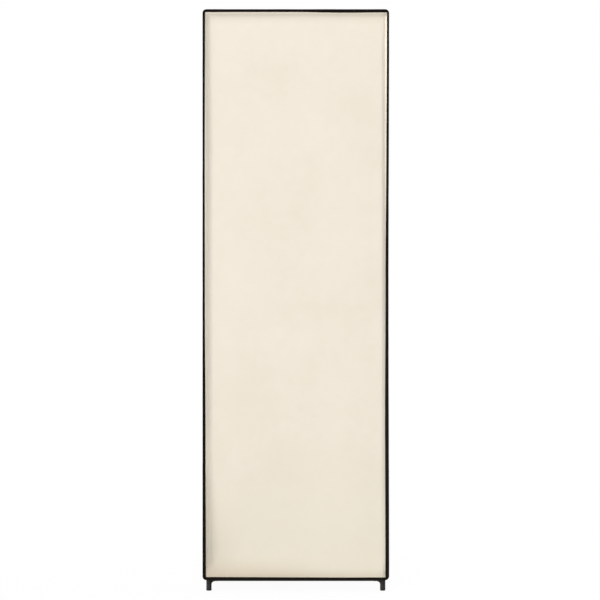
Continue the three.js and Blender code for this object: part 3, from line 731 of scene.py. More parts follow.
def side_surface(side, seed, lift=0.0):
    """Places on a side panel: across is along Y, up is along Z"""
    round_start = FIN_REACH - CORNER_ROUND

    def placed(across, up):
        past_end = abs(across) - HALF_Y
        past_top = up - TOP_RAIL
        low = 1 - clamped((up - HEM_EDGE) / HEM_FLARE_HEIGHT)
        flare = HEM_FLARE * low * low * (1 - clamped(past_end / FIN_REACH))
        out = CLOTH_RADIUS + flare + panel_relief(across, up, HALF_Y, seed)
        if across < 0:
            out -= at_height(FRONT_FALL, up) * bent(past_end, -FRONT_BEND, 0)
        bends = [(past_top, TOP_LIP, TOP_BEND)]
        if across > 0:
            bends.append((past_end, at_height(BACK_LIP, up), at_height(BACK_BEND, up)))
        for past, lip, bend in bends:
            to_seam = bent(past, -bend, BEND_STOP) / bent(FIN_REACH - lip, -bend, BEND_STOP)
            out += max(0.0, SEAM_OUT - out) * min(1.0, to_seam)
        if across < 0:
            out = eased_larger(out, FIN_OUT - (FIN_REACH - past_end) * FRONT_FIN_SLOPE)
        for past in (past_end, past_top):
            out = max(out, arch(UNDER_CLOTH, past))
        to_cord = 1 - clamped((up - HEM_EDGE) / FIN_REACH)
        out += max(0.0, HEM_EDGE_OUT - out) * to_cord * to_cord
        turn = math.copysign(1, across)
        middle = HEM_EDGE + CORNER_ROUND
        along = past_top - round_start if past_top > 0 else middle - up
        across_moved, along_moved = rounded(past_end - round_start, along)
        height = TOP_RAIL + round_start + along_moved if past_top > 0 else middle - along_moved
        return Vector((side * (HALF_X + out + lift), turn * (HALF_Y + round_start + across_moved), height))

    return placed


def cover_sheet(node, columns, rows, surface):
    """A sheet of the cover with its thickness; the size it was cut to is worked out and not kept"""
    mesh = cloth_sheet(columns, rows, surface)
    sheet = piece("cloth_" + node, mesh, cloth_finish, [node], thickness=CLOTH_THICKNESS)
    cut_size(columns, rows, surface)


cloth_finish = spunbond()
HEM_STEP_SHARES = (0, 0.02, 0.05, 0.09, 0.15, 0.22, 0.3, 0.4, 0.52, 0.65, 0.82, 1)
hem_rows = [HEM_EDGE + HEM_FLARE_HEIGHT * share for share in HEM_STEP_SHARES]
side_columns = across_panel(HALF_Y)
side_rows = hem_rows + even_steps(hem_rows[-1], TOP_RAIL + FIN_START, PANEL_STEP)[1:-1] + fin_steps(TOP_RAIL)
SIDE_SEEDS = {"left": 2.4, "right": 17.9}
for side_name, side in SIDES.items():
    surface = side_surface(side, SIDE_SEEDS[side_name])
    cover_sheet(f"cover_side_{side_name}", side_columns, side_rows, surface)


# Cover: back, top, header and front stiles
# The same cloth. The back is one piece, the header and the two stiles frame the doorway, and the
# top meets the back and the header in a seam along the front and back rails.
SEAM_REACH = 0.0064
SEAM_STEP_SHARES = (0.0, 0.3, 0.55, 0.8, 1.0)
BACK_SEED = 31.0
TOP_SEED = 44.0
HEADER_SEED = 52.0
STILE_SEED = 61.0
STILE_EASE = 0.0003
SLACK = 0.0020
HEADER_TAUT = 0.2
ZIP_TAPE_OVERLAP = 0.0115

HEADER_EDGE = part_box("front_header")[0].z
STILE_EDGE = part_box("front_stile_right")[0].x


def seam_drop(past, past_side):
    """How far a sheet drops where it goes over a rail to the seam, fading out at its corners"""
    return (CLOTH_RADIUS - arch(CLOTH_RADIUS, max(0.0, past))) * (1 - clamped(past_side / SEAM_REACH))


def flat_relief(across, up, inside, seed):
    """How far a back, top or front sheet swells out of flat"""
    fade = edge_fade(inside)
    crown = SHEET_CROWN * smooth(inside / SHEET_CROWN_WIDTH)
    return crown + (SLACK * loose(across, up, seed) + RIPPLE * ripple(across, up, seed)) * fade


def upright_surface(end, seed, inside, lift=0.0):
    """Places on the back, header or a stile: across is along X, up is along Z"""
    round_start = FIN_REACH - CORNER_ROUND

    def placed(across, up):
        past_side = abs(across) - HALF_X
        relief = flat_relief(across, up, inside(across, up), seed)
        out = HALF_Y + stand_off(past_side) - seam_drop(up - TOP_RAIL, past_side) + relief + lift
        across_moved, along_moved = rounded(past_side - round_start, HEM_EDGE + CORNER_ROUND - up)
        x = math.copysign(HALF_X + round_start + across_moved, across)
        return Vector((x, end * out, HEM_EDGE + CORNER_ROUND - along_moved))

    return placed


def top_surface(across, back):
    """Places on the top: across is along X, back is along Y"""
    past_side = abs(across) - HALF_X
    drop = seam_drop(abs(back) - HALF_Y, past_side)
    relief = flat_relief(across, back, min(-past_side, HALF_Y - abs(back)), TOP_SEED)
    return Vector((across, back, TOP_RAIL + stand_off(past_side) - drop + relief))


def inside_back(across, up):
    """How far inside the back's edges a place is"""
    return min(HALF_X - abs(across), TOP_RAIL - up)


def inside_header(across, up):
    """The same for the header, cut down because it is drawn taut between its seams"""
    return min(inside_back(across, up), up - HEADER_EDGE) * HEADER_TAUT


def inside_stile(across, up):
    """The same for a stile, beside its zip"""
    return min(HALF_X - abs(across), abs(across) - STILE_EDGE - ZIP_TAPE_OVERLAP, HEADER_EDGE - up)


def seam_steps(half):
    """Places from a rail's middle line out to the seam over it"""
    return [half + SEAM_REACH * share for share in SEAM_STEP_SHARES]


def stile_columns(side):
    """Places across a stile, from its zip to the corner"""
    fins = fin_steps(HALF_X)
    columns = even_steps(STILE_EDGE, fins[0], PANEL_STEP)[:-1] + fins
    return columns if side > 0 else mirrored(columns)


back_surface = upright_surface(1, BACK_SEED, inside_back)
back_columns = across_panel(HALF_X)
back_rows = hem_rows + even_steps(hem_rows[-1], TOP_RAIL + FIN_START, PANEL_STEP)[1:] + seam_steps(TOP_RAIL)
cover_sheet("cover_back", back_columns, back_rows, back_surface)
header_surface = upright_surface(-1, HEADER_SEED, inside_header)
header_rows = even_steps(HEADER_EDGE, TOP_RAIL + FIN_START, PANEL_STEP / 2) + seam_steps(TOP_RAIL)
cover_sheet("front_header", back_columns, header_rows, header_surface)
stile_surface = upright_surface(-1, STILE_SEED, inside_stile)
stile_rows = hem_rows + even_steps(hem_rows[-1], HEADER_EDGE - STILE_EASE, PANEL_STEP)[1:]
for side_name, side in SIDES.items():
    cover_sheet(f"front_stile_{side_name}", stile_columns(side), stile_rows, stile_surface)
top_half = HALF_Y + FIN_START
top_seams = seam_steps(HALF_Y)
top_rows = mirrored(top_seams) + even_steps(-top_half, top_half, PANEL_STEP) + top_seams
cover_sheet("cover_top", back_columns, top_rows, top_surface)


# Piping and bindings
# Black woven tape folded round a cord and sewn into the corner seams: a loop round each side panel,
# with the tape's flange showing beside it, and a thinner cord along the front and back top seams.
PIPING_RADIUS = 0.00275
PIPING_OUT = 0.01425
PIPING_CORNER = 0.008
PIPING_CORNER_STEPS = 6
PIPING_SIDES = 14
PIPING_STEP = 0.012
PIPING_WANDER = 0.0002
WANDERS_PER_METRE = 20
WANDER_SEED = 3.0
FRONT_BOW = 0.0017
FLANGE_THICKNESS = 0.0005
FLANGE_LIFT = 0.00095
FLANGE_LAP = 0.0005
FLANGE_STEPS = 3
TAPE_THREADS_PER_METRE = 1500.0
TAPE_THREAD_DEPTH = 0.00012
TOP_CORD_RADIUS = 0.0021
TOP_CORD_OUT = 0.0079
TOP_CORD_END = 0.0105
BINDING_THICKNESS = 0.0004
BINDING_WIDTH = 0.009
# How much flange shows inside the cord, at even steps: upward at front and back, forward at top and hem
FRONT_FLANGE = (0.0047, 0.0046, 0.0024, 0.0013, 0.0004)
BACK_FLANGE = (0.0037, 0.0028, 0.0010, 0.0006, 0.0015)
TOP_FLANGE = (0.0026, 0.0025, 0.0025, 0.0043, 0.0037)
HEM_FLANGE = (0.0031, 0.0027, 0.0022, 0.0017, 0.0019)


def woven_tape(name, dark, light):
    """Black woven tape: crossed threads with a little lint and fading on the crests"""
    tape = Finish(bpy.data.materials.new(name))
    place = tape.place()
    slant = (tape.axis(place, "X") + tape.axis(place, "Y") + tape.axis(place, "Z")) * TAPE_THREADS_PER_METRE
    cross = (tape.axis(place, "X") + tape.axis(place, "Y") - tape.axis(place, "Z")) * TAPE_THREADS_PER_METRE
    threads = (slant * math.tau).cosine() * (cross * math.tau).cosine() * 0.5 + 0.5
    lint = tape.grain(place, 420.0, 3.0)
    faded = tape.grain(place, 14.0, 3.0).ramp(0.4, 0.75)
    share = 0.45 * threads + 0.35 * lint * faded
    sockets = {
        "Base Color": tape.blended(share, dark, light), "Roughness": 0.78 + 0.14 * lint,
        "Normal": tape.raised(threads, TAPE_THREAD_DEPTH), "Specular IOR Level": 0.12,
    }
    return tape.skinned(sockets)


def front_bow(up):
    """How far the front cord is drawn in at this height"""
    share = (up - HEM_EDGE) / (TOP_RAIL - HEM_EDGE)
    return FRONT_BOW * math.sin(math.pi * clamped(share)) ** 2


def swept(mesh, spine, radius, ring_sides, closed_loop):
    """A round cord along a line of points, with level cross-sections at each"""
    rings = []
    count = len(spine)
    for i, here in enumerate(spine):
        ahead = spine[(i + 1) % count] if closed_loop or i < count - 1 else here
        behind = spine[i - 1] if closed_loop or i > 0 else here
        way = (ahead - behind).normalized()
        turn = way.to_track_quat("Z", "X").to_matrix().to_4x4()
        ring = bmesh.ops.create_circle(
            mesh, cap_ends=False, segments=ring_sides, radius=radius, matrix=Matrix.Translation(here) @ turn,
        )
        rings.append(ring["verts"])
    pairs = list(zip(rings, rings[1:])) + ([(rings[-1], rings[0])] if closed_loop else [])
    for one, other in pairs:
        edges = {edge for ring in (one, other) for vert in ring for edge in vert.link_edges}
        loop = [edge for edge in edges if set(edge.verts) <= set(one) or set(edge.verts) <= set(other)]
        bmesh.ops.bridge_loops(mesh, edges=loop)
    if not closed_loop:
        for ring in (rings[0], rings[-1]):
            mesh.faces.new(ring)


def wandering(*place):
    """How far a hand-fed cord strays from its seam"""
    return PIPING_WANDER * noise.noise(Vector(place))


def piping_spine(side):
    """The line of the cord round a side panel"""
    reach = HALF_Y + PIPING_OUT - PIPING_CORNER
    high = TOP_RAIL + PIPING_OUT - PIPING_CORNER
    low = HEM_EDGE - PIPING_RADIUS - STILE_EASE + PIPING_CORNER
    middles = [(reach, high), (-reach, high), (-reach, low), (reach, low)]

    def at_corner(quarter, share):
        y, z = middles[quarter % len(middles)]
        angle = (quarter + share) * math.pi / 2
        z += PIPING_CORNER * math.sin(angle)
        return Vector((side * (HALF_X + PIPING_OUT), y + PIPING_CORNER * math.cos(angle), z))

    line = []
    for quarter in range(len(middles)):
        line += [at_corner(quarter, step / PIPING_CORNER_STEPS) for step in range(PIPING_CORNER_STEPS + 1)]
        last = line[-1]
        straight = at_corner(quarter + 1, 0) - last
        steps = math.ceil(straight.length / PIPING_STEP)
        line += [last + straight * (i / steps) for i in range(1, steps)]
    for spot in line:
        wander = wandering(spot.y * WANDERS_PER_METRE, spot.z * WANDERS_PER_METRE, side)
        spot.y += wander + (front_bow(spot.z) if spot.y < 0 else 0)
        spot.z += wander
    return line


trim_finish = woven_tape("black_trim_tape", seen_colour(6, 3, 2), seen_colour(33, 27, 20))
for side_name, side in SIDES.items():
    mesh = bmesh.new()
    swept(mesh, piping_spine(side), PIPING_RADIUS, PIPING_SIDES, True)
    node = f"piping_{side_name}"
    piece("cord_" + node, mesh, trim_finish, [node])


def flange_line(line, start, start_width, stop, stop_width):
    """A place across the flange: line runs -1 to 0 in one strip, 0 to 1 between them, 1 to 2 in the other"""
    if line < 0:
        return start + start_width * (line + 1)
    if line > 1:
        return stop - stop_width * (2 - line)
    return start + start_width + (stop - stop_width - start - start_width) * line


def flange_lines(places):
    """The lines of the flange's grid, as close together as these places on the panel"""
    strip = [step / FLANGE_STEPS for step in range(FLANGE_STEPS)]
    between = [(place - places[0]) / (places[-1] - places[0]) for place in places]
    return [share - 1 for share in strip] + between + [2 - share for share in reversed(strip)]


def flange_sheet(side):
    """The flange of the piping: a frame-shaped strip that lies on the panel inside the cord"""
    surface = side_surface(side, SIDE_SEEDS["left" if side < 0 else "right"], FLANGE_LIFT)
    reach = HALF_Y + FIN_REACH + FLANGE_LAP
    top_reach = TOP_RAIL + FIN_REACH + FLANGE_LAP
    hem_reach = HEM_EDGE - FLANGE_LAP

    def placed(across_line, up_line):
        forward = 1 - clamped(across_line)
        height_share = clamped(up_line)
        bow = front_bow(hem_reach + (top_reach - hem_reach) * height_share)
        front = FLANGE_LAP + along_scale(FRONT_FLANGE, height_share) + bow
        back = FLANGE_LAP + along_scale(BACK_FLANGE, height_share)
        across = flange_line(across_line, -reach, front, reach, back)
        low = FLANGE_LAP + along_scale(HEM_FLANGE, forward)
        top = FLANGE_LAP + along_scale(TOP_FLANGE, forward)
        up = flange_line(up_line, hem_reach, low, top_reach, top)
        return surface(across, up)

    mesh = cloth_sheet(flange_lines(side_columns), flange_lines(side_rows), placed)
    flat = mesh.loops.layers.uv.active
    inner = []
    for face in mesh.faces:
        lines = [sum(loop[flat].uv[way] for loop in face.loops) / len(face.loops) for way in (0, 1)]
        if all(0 < line < 1 for line in lines):
            inner.append(face)
    bmesh.ops.delete(mesh, geom=inner, context="FACES")
    return mesh


for side_name, side in SIDES.items():
    mesh = flange_sheet(side)
    piece(f"flange_piping_{side_name}", mesh, trim_finish, thickness=FLANGE_THICKNESS)

for end_name, end in ENDS.items():
    spine = []
    for x in even_steps(-HALF_X - TOP_CORD_END, HALF_X + TOP_CORD_END, PIPING_STEP):
        out = TOP_CORD_OUT + wandering(x * WANDERS_PER_METRE, end * WANDER_SEED, 0)
        spine.append(Vector((x, end * (HALF_Y + out), TOP_RAIL + out)))
    mesh = bmesh.new()
    swept(mesh, spine, TOP_CORD_RADIUS, PIPING_SIDES, False)
    piece(f"cord_top_seam_{end_name}", mesh, trim_finish)


def hem_binding(name, columns, surface):
    """Black tape folded over the lower edge of the cover"""
    rows = [HEM_EDGE + BINDING_WIDTH * share for share in (0.5, 1.0)]
    mesh = cloth_sheet(columns, [HEM_EDGE - BINDING_THICKNESS, HEM_EDGE] + rows, surface)
    piece(name, mesh, trim_finish, thickness=CLOTH_THICKNESS + 2 * BINDING_THICKNESS)


hem_binding("binding_back_hem", back_columns, back_surface)
for side_name, side in SIDES.items():
    hem_binding(f"binding_stile_hem_{side_name}", stile_columns(side), stile_surface)


# Door
# A curtain of the same cloth between the two zips. It hangs a little loose. The real door gathers up
# against the header when rolled up; here it is built hanging down.
DOOR_DRAPE = 0.0010
DOOR_PLEAT = 0.0007
DOOR_PLEAT_PITCH = 0.098
DOOR_PLEAT_SLANT = 1.5
DOOR_LOOSE_ACROSS = 1.6
DOOR_LOOSE_UP = 0.8
DOOR_RIPPLE_SHARE = 0.7
DOOR_SEED = 73.0
DOOR_STEP = 0.0085
DOOR_EDGE_FADE = 0.048
DOOR_FOOT_FADE = 0.260
HEM_LIP_RISE = 0.0045

door_low, door_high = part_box("door_panel")
bar_low, bar_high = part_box("door_hem")
DOOR_TRAVEL = next(joint["range_m"][1] for joint in frame["joints"] if joint["name"] == "door_roll_up")
DOOR_KEEP = 1 - DOOR_TRAVEL / (door_high.z - door_low.z)
ZIP_X = sum(corner.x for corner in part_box("zip_slider_right")) / 2
CLOTH_FROM_ZIP = STILE_EDGE - ZIP_X
TAPE_WIDTH = 0.015
COIL_FROM_ZIP = 0.0007
TAPE_THICKNESS = 0.0006
TAPE_OUT = 0.0105
DOOR_HALF = ZIP_X - CLOTH_FROM_ZIP


def rolls_up(made):
    """Gives a piece of the door its own copy of its mesh"""
    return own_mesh(made)


def door_surface(across, up):
    """Places on the door: across is along X, up is along Z"""
    inside = min(ZIP_X - TAPE_WIDTH - abs(across), door_high.z - up)
    fade = smooth(inside / DOOR_EDGE_FADE) * smooth((up - door_low.z - HEM_LIP_RISE) / DOOR_FOOT_FADE)
    drape = DOOR_DRAPE * loose(across * DOOR_LOOSE_ACROSS, up * DOOR_LOOSE_UP, DOOR_SEED)
    drape += RIPPLE * DOOR_RIPPLE_SHARE * ripple(across, up, DOOR_SEED)
    turn = math.tau * up / DOOR_PLEAT_PITCH + across * DOOR_PLEAT_SLANT
    pleat = DOOR_PLEAT * (1 + math.cos(turn)) / 2
    return Vector((across, -HALF_Y - CLOTH_RADIUS - fade * (drape + pleat), up))


door_columns = even_steps(-DOOR_HALF, DOOR_HALF, DOOR_STEP)
door_rows = even_steps(door_low.z, door_high.z, DOOR_STEP)
mesh = cloth_sheet(door_columns, door_rows, door_surface)
door = piece("door_cloth", mesh, cloth_finish, ["door_panel"], thickness=CLOTH_THICKNESS)
door_cut = cut_size(door_columns, door_rows, door_surface)
rolls_up(door)


# Door hem
# The stiff bar that the door is rolled up on, in a sleeve of the black tape. The sleeve is sewn
# through along its top, and a lip of it covers the edge of the cloth.
HEM_BAR_CORNER = 0.0016
HEM_BAR_EASE = 0.0011
HEM_BAR_STEP = 0.02
HEM_LIP_INSET = 0.009
HEM_LIP_OUT = 0.00105


def box_outline(left, right, low, high):
    """The four corners of an upright oblong"""
    return [(left, low), (right, low), (right, high), (left, high)]


def on_front(out):
    """Places on a flat sheet that lies this far in front of the front tubes' middle line"""

    def placed(across, up):
        return Vector((across, -HALF_Y - out, up))

    return placed


def slab(outline, inside, outside, corner, ease):
    """A flat piece from its front outline of (across, up), with eased corners and edges"""
    mesh = bmesh.new()
    corners = [mesh.verts.new((across, -HALF_Y - inside, up)) for across, up in outline]
    mesh.faces.new(corners)
    eased(mesh, corners, corner, 3, "VERTICES")
    there = set(mesh.verts)
    pushed = bmesh.ops.extrude_face_region(mesh, geom=mesh.faces[:])
    moved = {part for part in pushed["geom"] if isinstance(part, bmesh.types.BMVert)}
    bmesh.ops.translate(mesh, vec=(0, inside - outside, 0), verts=list(moved))
    rims = [edge for edge in mesh.edges if set(edge.verts) <= there or set(edge.verts) <= moved]
    eased(mesh, rims, ease, 2)
    return mesh


hem_outline = box_outline(bar_low.x, bar_high.x, bar_low.z, bar_high.z)
mesh = slab(hem_outline, -bar_high.y - HALF_Y, -bar_low.y - HALF_Y, HEM_BAR_CORNER, HEM_BAR_EASE)
piece("hem_sleeve", mesh, trim_finish, ["door_hem"], body="door_bar")
lip_columns = even_steps(bar_low.x + HEM_LIP_INSET, bar_high.x - HEM_LIP_INSET, HEM_BAR_STEP)
lip_rows = [bar_high.z - HEM_BAR_EASE, bar_high.z, door_low.z + HEM_LIP_RISE]
mesh = cloth_sheet(lip_columns, lip_rows, on_front(CLOTH_RADIUS + HEM_LIP_OUT))
piece("hem_lip", mesh, trim_finish, body="door_bar", thickness=BINDING_THICKNESS)


# Zips
# Two long coil zips close the door: woven black tapes, one sewn to the door and one to the stile,
# each with a nylon coil sewn along its edge, and a rounded metal slider with a pull tab.
COIL_PITCH = 0.0022
COIL_STEPS = 8
COIL_THREAD_SIDES = 5
COIL_THREAD = 0.00024
COIL_TURN = 0.0006
COIL_WIDTH_SCALE = 1.45
COIL_DEPTH_SCALE = 0.70
COIL_BLOCK = 10
COIL_MIDDLE = 0.00182
COIL_OUT = 0.01139
ROW_JOIN = 0.00001
TAPE_STEP = 0.02
STITCH_PITCH = 0.0042
STITCH_LENGTH = 0.0027
STITCH_WIDTH = 0.00045
STITCH_RISE = 0.00028
STITCH_ROWS_FROM_ZIP = (0.0075, 0.0128)
STITCH_SIDES = 6
STITCH_RINGS = 4
ZIP_LAP = 0.001
RIB_DEPTH = 0.00015
ZIP_RIBS_PER_METRE = 1400.0


def webbing(name, dark, light, ribs_per_metre):
    """Woven black tape with ribs across it, read from its flat size"""
    woven = Finish(bpy.data.materials.new(name))
    flat = woven.place("UV")
    across = (woven.axis(flat, "X") * (ribs_per_metre * math.tau)).cosine()
    up = (woven.axis(flat, "Y") * (ribs_per_metre * 0.7 * math.tau)).cosine()
    threads = 0.5 + 0.3 * across + 0.2 * up * across
    lint = woven.grain(flat, 700.0, 3.0)
    sockets = {
        "Base Color": woven.blended(0.5 * threads + 0.3 * lint, dark, light),
        "Roughness": 0.66 + 0.2 * lint, "Normal": woven.raised(threads, RIB_DEPTH),
        "Specular IOR Level": 0.2,
    }
    return woven.skinned(sockets)


def nylon(name, colour, rough):
    """Smooth nylon thread, a little cloudy"""
    thread = Finish(bpy.data.materials.new(name))
    place = thread.place()
    cloud = thread.grain(place, 300.0, 2.0)
    lighter = [clamped(value * 1.7 + 0.004) for value in colour[:3]] + [1.0]
    sockets = {"Base Color": thread.blended(cloud, colour, lighter), "Roughness": rough + 0.1 * cloud}
    return thread.skinned(sockets)


tape_finish = webbing("black_zip_tape", seen_colour(18, 16, 15), seen_colour(40, 37, 34), ZIP_RIBS_PER_METRE)
coil_finish = nylon("black_nylon_coil", seen_colour(20, 19, 18), 0.30)
black_thread = nylon("black_thread", seen_colour(34, 30, 26), 0.6)
cream_thread = nylon("cream_thread", seen_colour(222, 212, 192), 0.6)


def repeated(mesh, count, step):
    """A shape repeated in a straight row, each one step further on, with what touches joined"""
    data = bpy.data.meshes.new("row")
    mesh.to_mesh(data)
    mesh.free()
    row = bpy.data.objects.new("row", data)
    bpy.context.collection.objects.link(row)
    array = row.modifiers.new("row", "ARRAY")
    array.count = count
    array.use_relative_offset = False
    array.use_constant_offset = True
    array.constant_offset_displace = step
    array.use_merge_vertices = True
    array.merge_threshold = ROW_JOIN
    ready = bpy.context.evaluated_depsgraph_get()
    whole = bmesh.new()
    whole.from_mesh(row.evaluated_get(ready).to_mesh())
    bpy.data.objects.remove(row)
    return whole


def coil_mesh(x, low, high):
    """A nylon coil standing along Z: a few turns are spun, then repeated"""
    mesh = bmesh.new()
    around = Matrix.Translation((COIL_TURN, 0, 0)) @ Matrix.Rotation(math.pi / 2, 4, "X")
    bmesh.ops.create_circle(
        mesh, cap_ends=False, segments=COIL_THREAD_SIDES, radius=COIL_THREAD, matrix=around,
    )
    bmesh.ops.spin(
        mesh, geom=mesh.verts[:] + mesh.edges[:], cent=(0, 0, 0), axis=(0, 0, 1),
        dvec=(0, 0, COIL_PITCH / COIL_STEPS), angle=math.tau * COIL_BLOCK, steps=COIL_STEPS * COIL_BLOCK,
        use_merge=False, use_normal_flip=False, use_duplicate=False, space=Matrix.Identity(4),
    )
    block = COIL_PITCH * COIL_BLOCK
    count = math.floor((high - low) / block)
    whole = repeated(mesh, count, (0, 0, block))
    ends = [edge for edge in whole.edges if edge.is_boundary]
    bmesh.ops.holes_fill(whole, edges=ends, sides=COIL_THREAD_SIDES)
    stretch = Matrix.Diagonal((COIL_WIDTH_SCALE, COIL_DEPTH_SCALE, (high - low) / (block * count), 1))
    placed = Matrix.Translation((x, -HALF_Y - COIL_OUT, low)) @ stretch
    bmesh.ops.transform(whole, matrix=placed, verts=whole.verts)
    return whole


def stitches(mesh, spots, way, out):
    """Small raised stitches at these spots, all running one way on a surface that faces out"""
    turn = Matrix((way.cross(out), way, out)).transposed()
    size = Matrix.Diagonal((STITCH_WIDTH / 2, STITCH_LENGTH / 2, STITCH_RISE))
    one = bmesh.new()
    bmesh.ops.create_uvsphere(one, u_segments=STITCH_SIDES, v_segments=STITCH_RINGS, radius=1)
    one.verts.index_update()
    corners = [turn @ size @ vert.co for vert in one.verts]
    sides = [[vert.index for vert in face.verts] for face in one.faces]
    one.free()
    for spot in spots:
        made = [mesh.verts.new(spot + corner) for corner in corners]
        for side in sides:
            mesh.faces.new([made[i] for i in side])


def stitch_row(mesh, start, stop, out):
    """A straight row of stitches"""
    count = max(1, math.floor((stop - start).length / STITCH_PITCH))
    spots = [start.lerp(stop, (i + 0.5) / count) for i in range(count)]
    stitches(mesh, spots, (stop - start).normalized(), out)


def gathered(meshes):
    """Several meshes as one"""
    whole = bmesh.new()
    for mesh in meshes:
        data = bpy.data.meshes.new("part")
        mesh.to_mesh(data)
        mesh.free()
        whole.from_mesh(data)
        bpy.data.meshes.remove(data)
    return whole


FRONT = Vector((0, -1, 0))
zip_low, zip_high = door_low.z, HEADER_EDGE + ZIP_LAP
tape_rows = even_steps(zip_low, zip_high, TAPE_STEP)
tape_front = -HALF_Y - TAPE_OUT - TAPE_THICKNESS / 2
for side_name, side in SIDES.items():
    for part, way in {"door": -1, "stile": 1}.items():
        def from_zip(distance):
            return side * (ZIP_X + way * distance)

        edges = sorted([from_zip(COIL_FROM_ZIP), from_zip(TAPE_WIDTH)])
        mesh = cloth_sheet(even_steps(*edges, TAPE_WIDTH / 4), tape_rows, on_front(TAPE_OUT))
        tape = piece(f"{part}_tape_{side_name}", mesh, tape_finish, thickness=TAPE_THICKNESS)
        mesh = coil_mesh(from_zip(COIL_MIDDLE), zip_low, zip_high)
        coil = piece(f"{part}_coil_{side_name}", mesh, coil_finish)
        mesh = bmesh.new()
        for distance in STITCH_ROWS_FROM_ZIP:
            x = from_zip(distance)
            stitch_row(mesh, Vector((x, tape_front, zip_low)), Vector((x, tape_front, zip_high)), FRONT)
        seam = piece(f"{part}_stitches_{side_name}", mesh, black_thread)
        if part == "door":
            for made in (tape, coil, seam):
                rolls_up(made)
        else:
            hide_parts(f"zip_tape_{side_name}")


# Sliders
# Cast metal, lacquered dark and worn bright in small patches: a front plate that narrows upward, a
# rear plate, a post between them, rims turned in beside the coils, and two lugs with the tab's pin.
SLIDER_PLATE = 0.001
SLIDER_REAR_PLATE = 0.0006
SLIDER_RIM = 0.0006
SLIDER_RIM_DROP = 0.0012
SLIDER_POST_HALF = 0.00042
SLIDER_NARROW_SHARE = 0.66
SLIDER_WAIST_SHARE = 0.45
SLIDER_CORNER = 0.0011
SLIDER_EASE = 0.00022
LUG_INNER = 0.0016
LUG_OUTER = 0.0026
LUG_HALF_HEIGHT = 0.0012
LUG_CORNER = 0.0009
PIN_RADIUS = 0.00055
PIN_SIDES = 20
CAST_DEPTH = 0.00005

slider_low, slider_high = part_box("zip_slider_right")
tab_low, tab_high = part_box("pull_tab_right")
SLIDER_HALF = (slider_high.x - slider_low.x) / 2
EYE_RADIUS = 0.0016
PIN_HEIGHT = tab_high.z - EYE_RADIUS
PIN_OUT = -HALF_Y - (tab_low.y + tab_high.y) / 2
LUG_FRONT = -HALF_Y - slider_low.y
SLIDER_REAR = -HALF_Y - slider_high.y
PLATE_FRONT = 0.0133
EYE_HOLE_RADIUS = 0.00085
EYE_HALF_WIDTH = 0.0013


def rod(start, stop, radius, ease):
    """A round rod with eased ends"""
    length = (stop - start).length
    near = [(0, 0), (radius - ease, 0), (radius, ease)]
    outline = near + [(out, length - along) for out, along in reversed(near)]
    mesh = bmesh.new()
    turned(mesh, outline, start, stop - start, PIN_SIDES)
    return mesh


def lacquered_metal():
    """Zinc casting with a dark lacquer, rubbed through to brighter metal in small patches"""
    metal = Finish(bpy.data.materials.new("dark_zip_metal"))
    place = metal.place()
    cast = metal.grain(place, 900.0, 3.0)
    worn = metal.grain(place, 420.0, 4.0).ramp(0.50, 0.78)
    sockets = {
        "Base Color": metal.blended(worn, seen_colour(72, 70, 67), seen_colour(118, 115, 110)),
        "Metallic": 0.9, "Roughness": 0.30 + 0.16 * cast, "Normal": metal.raised(cast, CAST_DEPTH),
    }
    return metal.skinned(sockets)


def both_sides(middle, right):
    """A whole outline from its right half, as (across from the middle, up)"""
    return [(middle + x, up) for x, up in right] + [(middle - x, up) for x, up in reversed(right)]


metal_finish = lacquered_metal()
plate_back = PLATE_FRONT - SLIDER_PLATE
low, high = slider_low.z, slider_high.z
waist = low + (high - low) * SLIDER_WAIST_SHARE
lug_ends = (PIN_HEIGHT - LUG_HALF_HEIGHT, PIN_HEIGHT + LUG_HALF_HEIGHT)
plate_half = [(SLIDER_HALF, low), (SLIDER_HALF, waist), (SLIDER_HALF * SLIDER_NARROW_SHARE, high)]
for side_name, side in SIDES.items():
    middle = side * ZIP_X
    plate = both_sides(middle, plate_half)
    post = box_outline(middle - SLIDER_POST_HALF, middle + SLIDER_POST_HALF, waist, high)
    castings = [
        slab(plate, plate_back, PLATE_FRONT, SLIDER_CORNER, SLIDER_EASE),
        slab(plate, SLIDER_REAR, SLIDER_REAR + SLIDER_REAR_PLATE, SLIDER_CORNER, SLIDER_EASE),
        slab(post, SLIDER_REAR, plate_back, SLIDER_POST_HALF / 2, SLIDER_EASE / 2),
    ]
    for way in (-1, 1):
        edge = middle + way * SLIDER_HALF
        rim = box_outline(edge, edge - way * SLIDER_RIM, low, waist)
        castings.append(slab(rim, plate_back - SLIDER_RIM_DROP, plate_back, SLIDER_RIM / 4, SLIDER_EASE / 2))
        lug = box_outline(middle + way * LUG_INNER, middle + way * LUG_OUTER, *lug_ends)
        castings.append(slab(lug, plate_back, LUG_FRONT, LUG_CORNER / 4, LUG_CORNER / 3))
    pin_ends = [Vector((middle + way * LUG_OUTER, -HALF_Y - PIN_OUT, PIN_HEIGHT)) for way in (-1, 1)]
    castings.append(rod(*pin_ends, PIN_RADIUS, SLIDER_EASE / 2))
    node = f"zip_slider_{side_name}"
    piece("cast_" + node, gathered(castings), metal_finish, [node], body=f"slider_{side_name}")


# Pull tabs
# The same metal, stamped: an eye round the slider's pin, a narrow neck and a rounded grip with a
# pressed hollow in its face.
TAB_NECK = 0.006
TAB_HALF_THICKNESS = 0.0007
TAB_SHOULDER_SHARE = 0.8
TAB_EASE = 0.0003
TAB_HOLLOW_EDGE = 0.0008
TAB_HOLLOW_DEPTH = 0.0003
FLAT_FACING = 0.9

TAB_HALF = (tab_high.x - tab_low.x) / 2


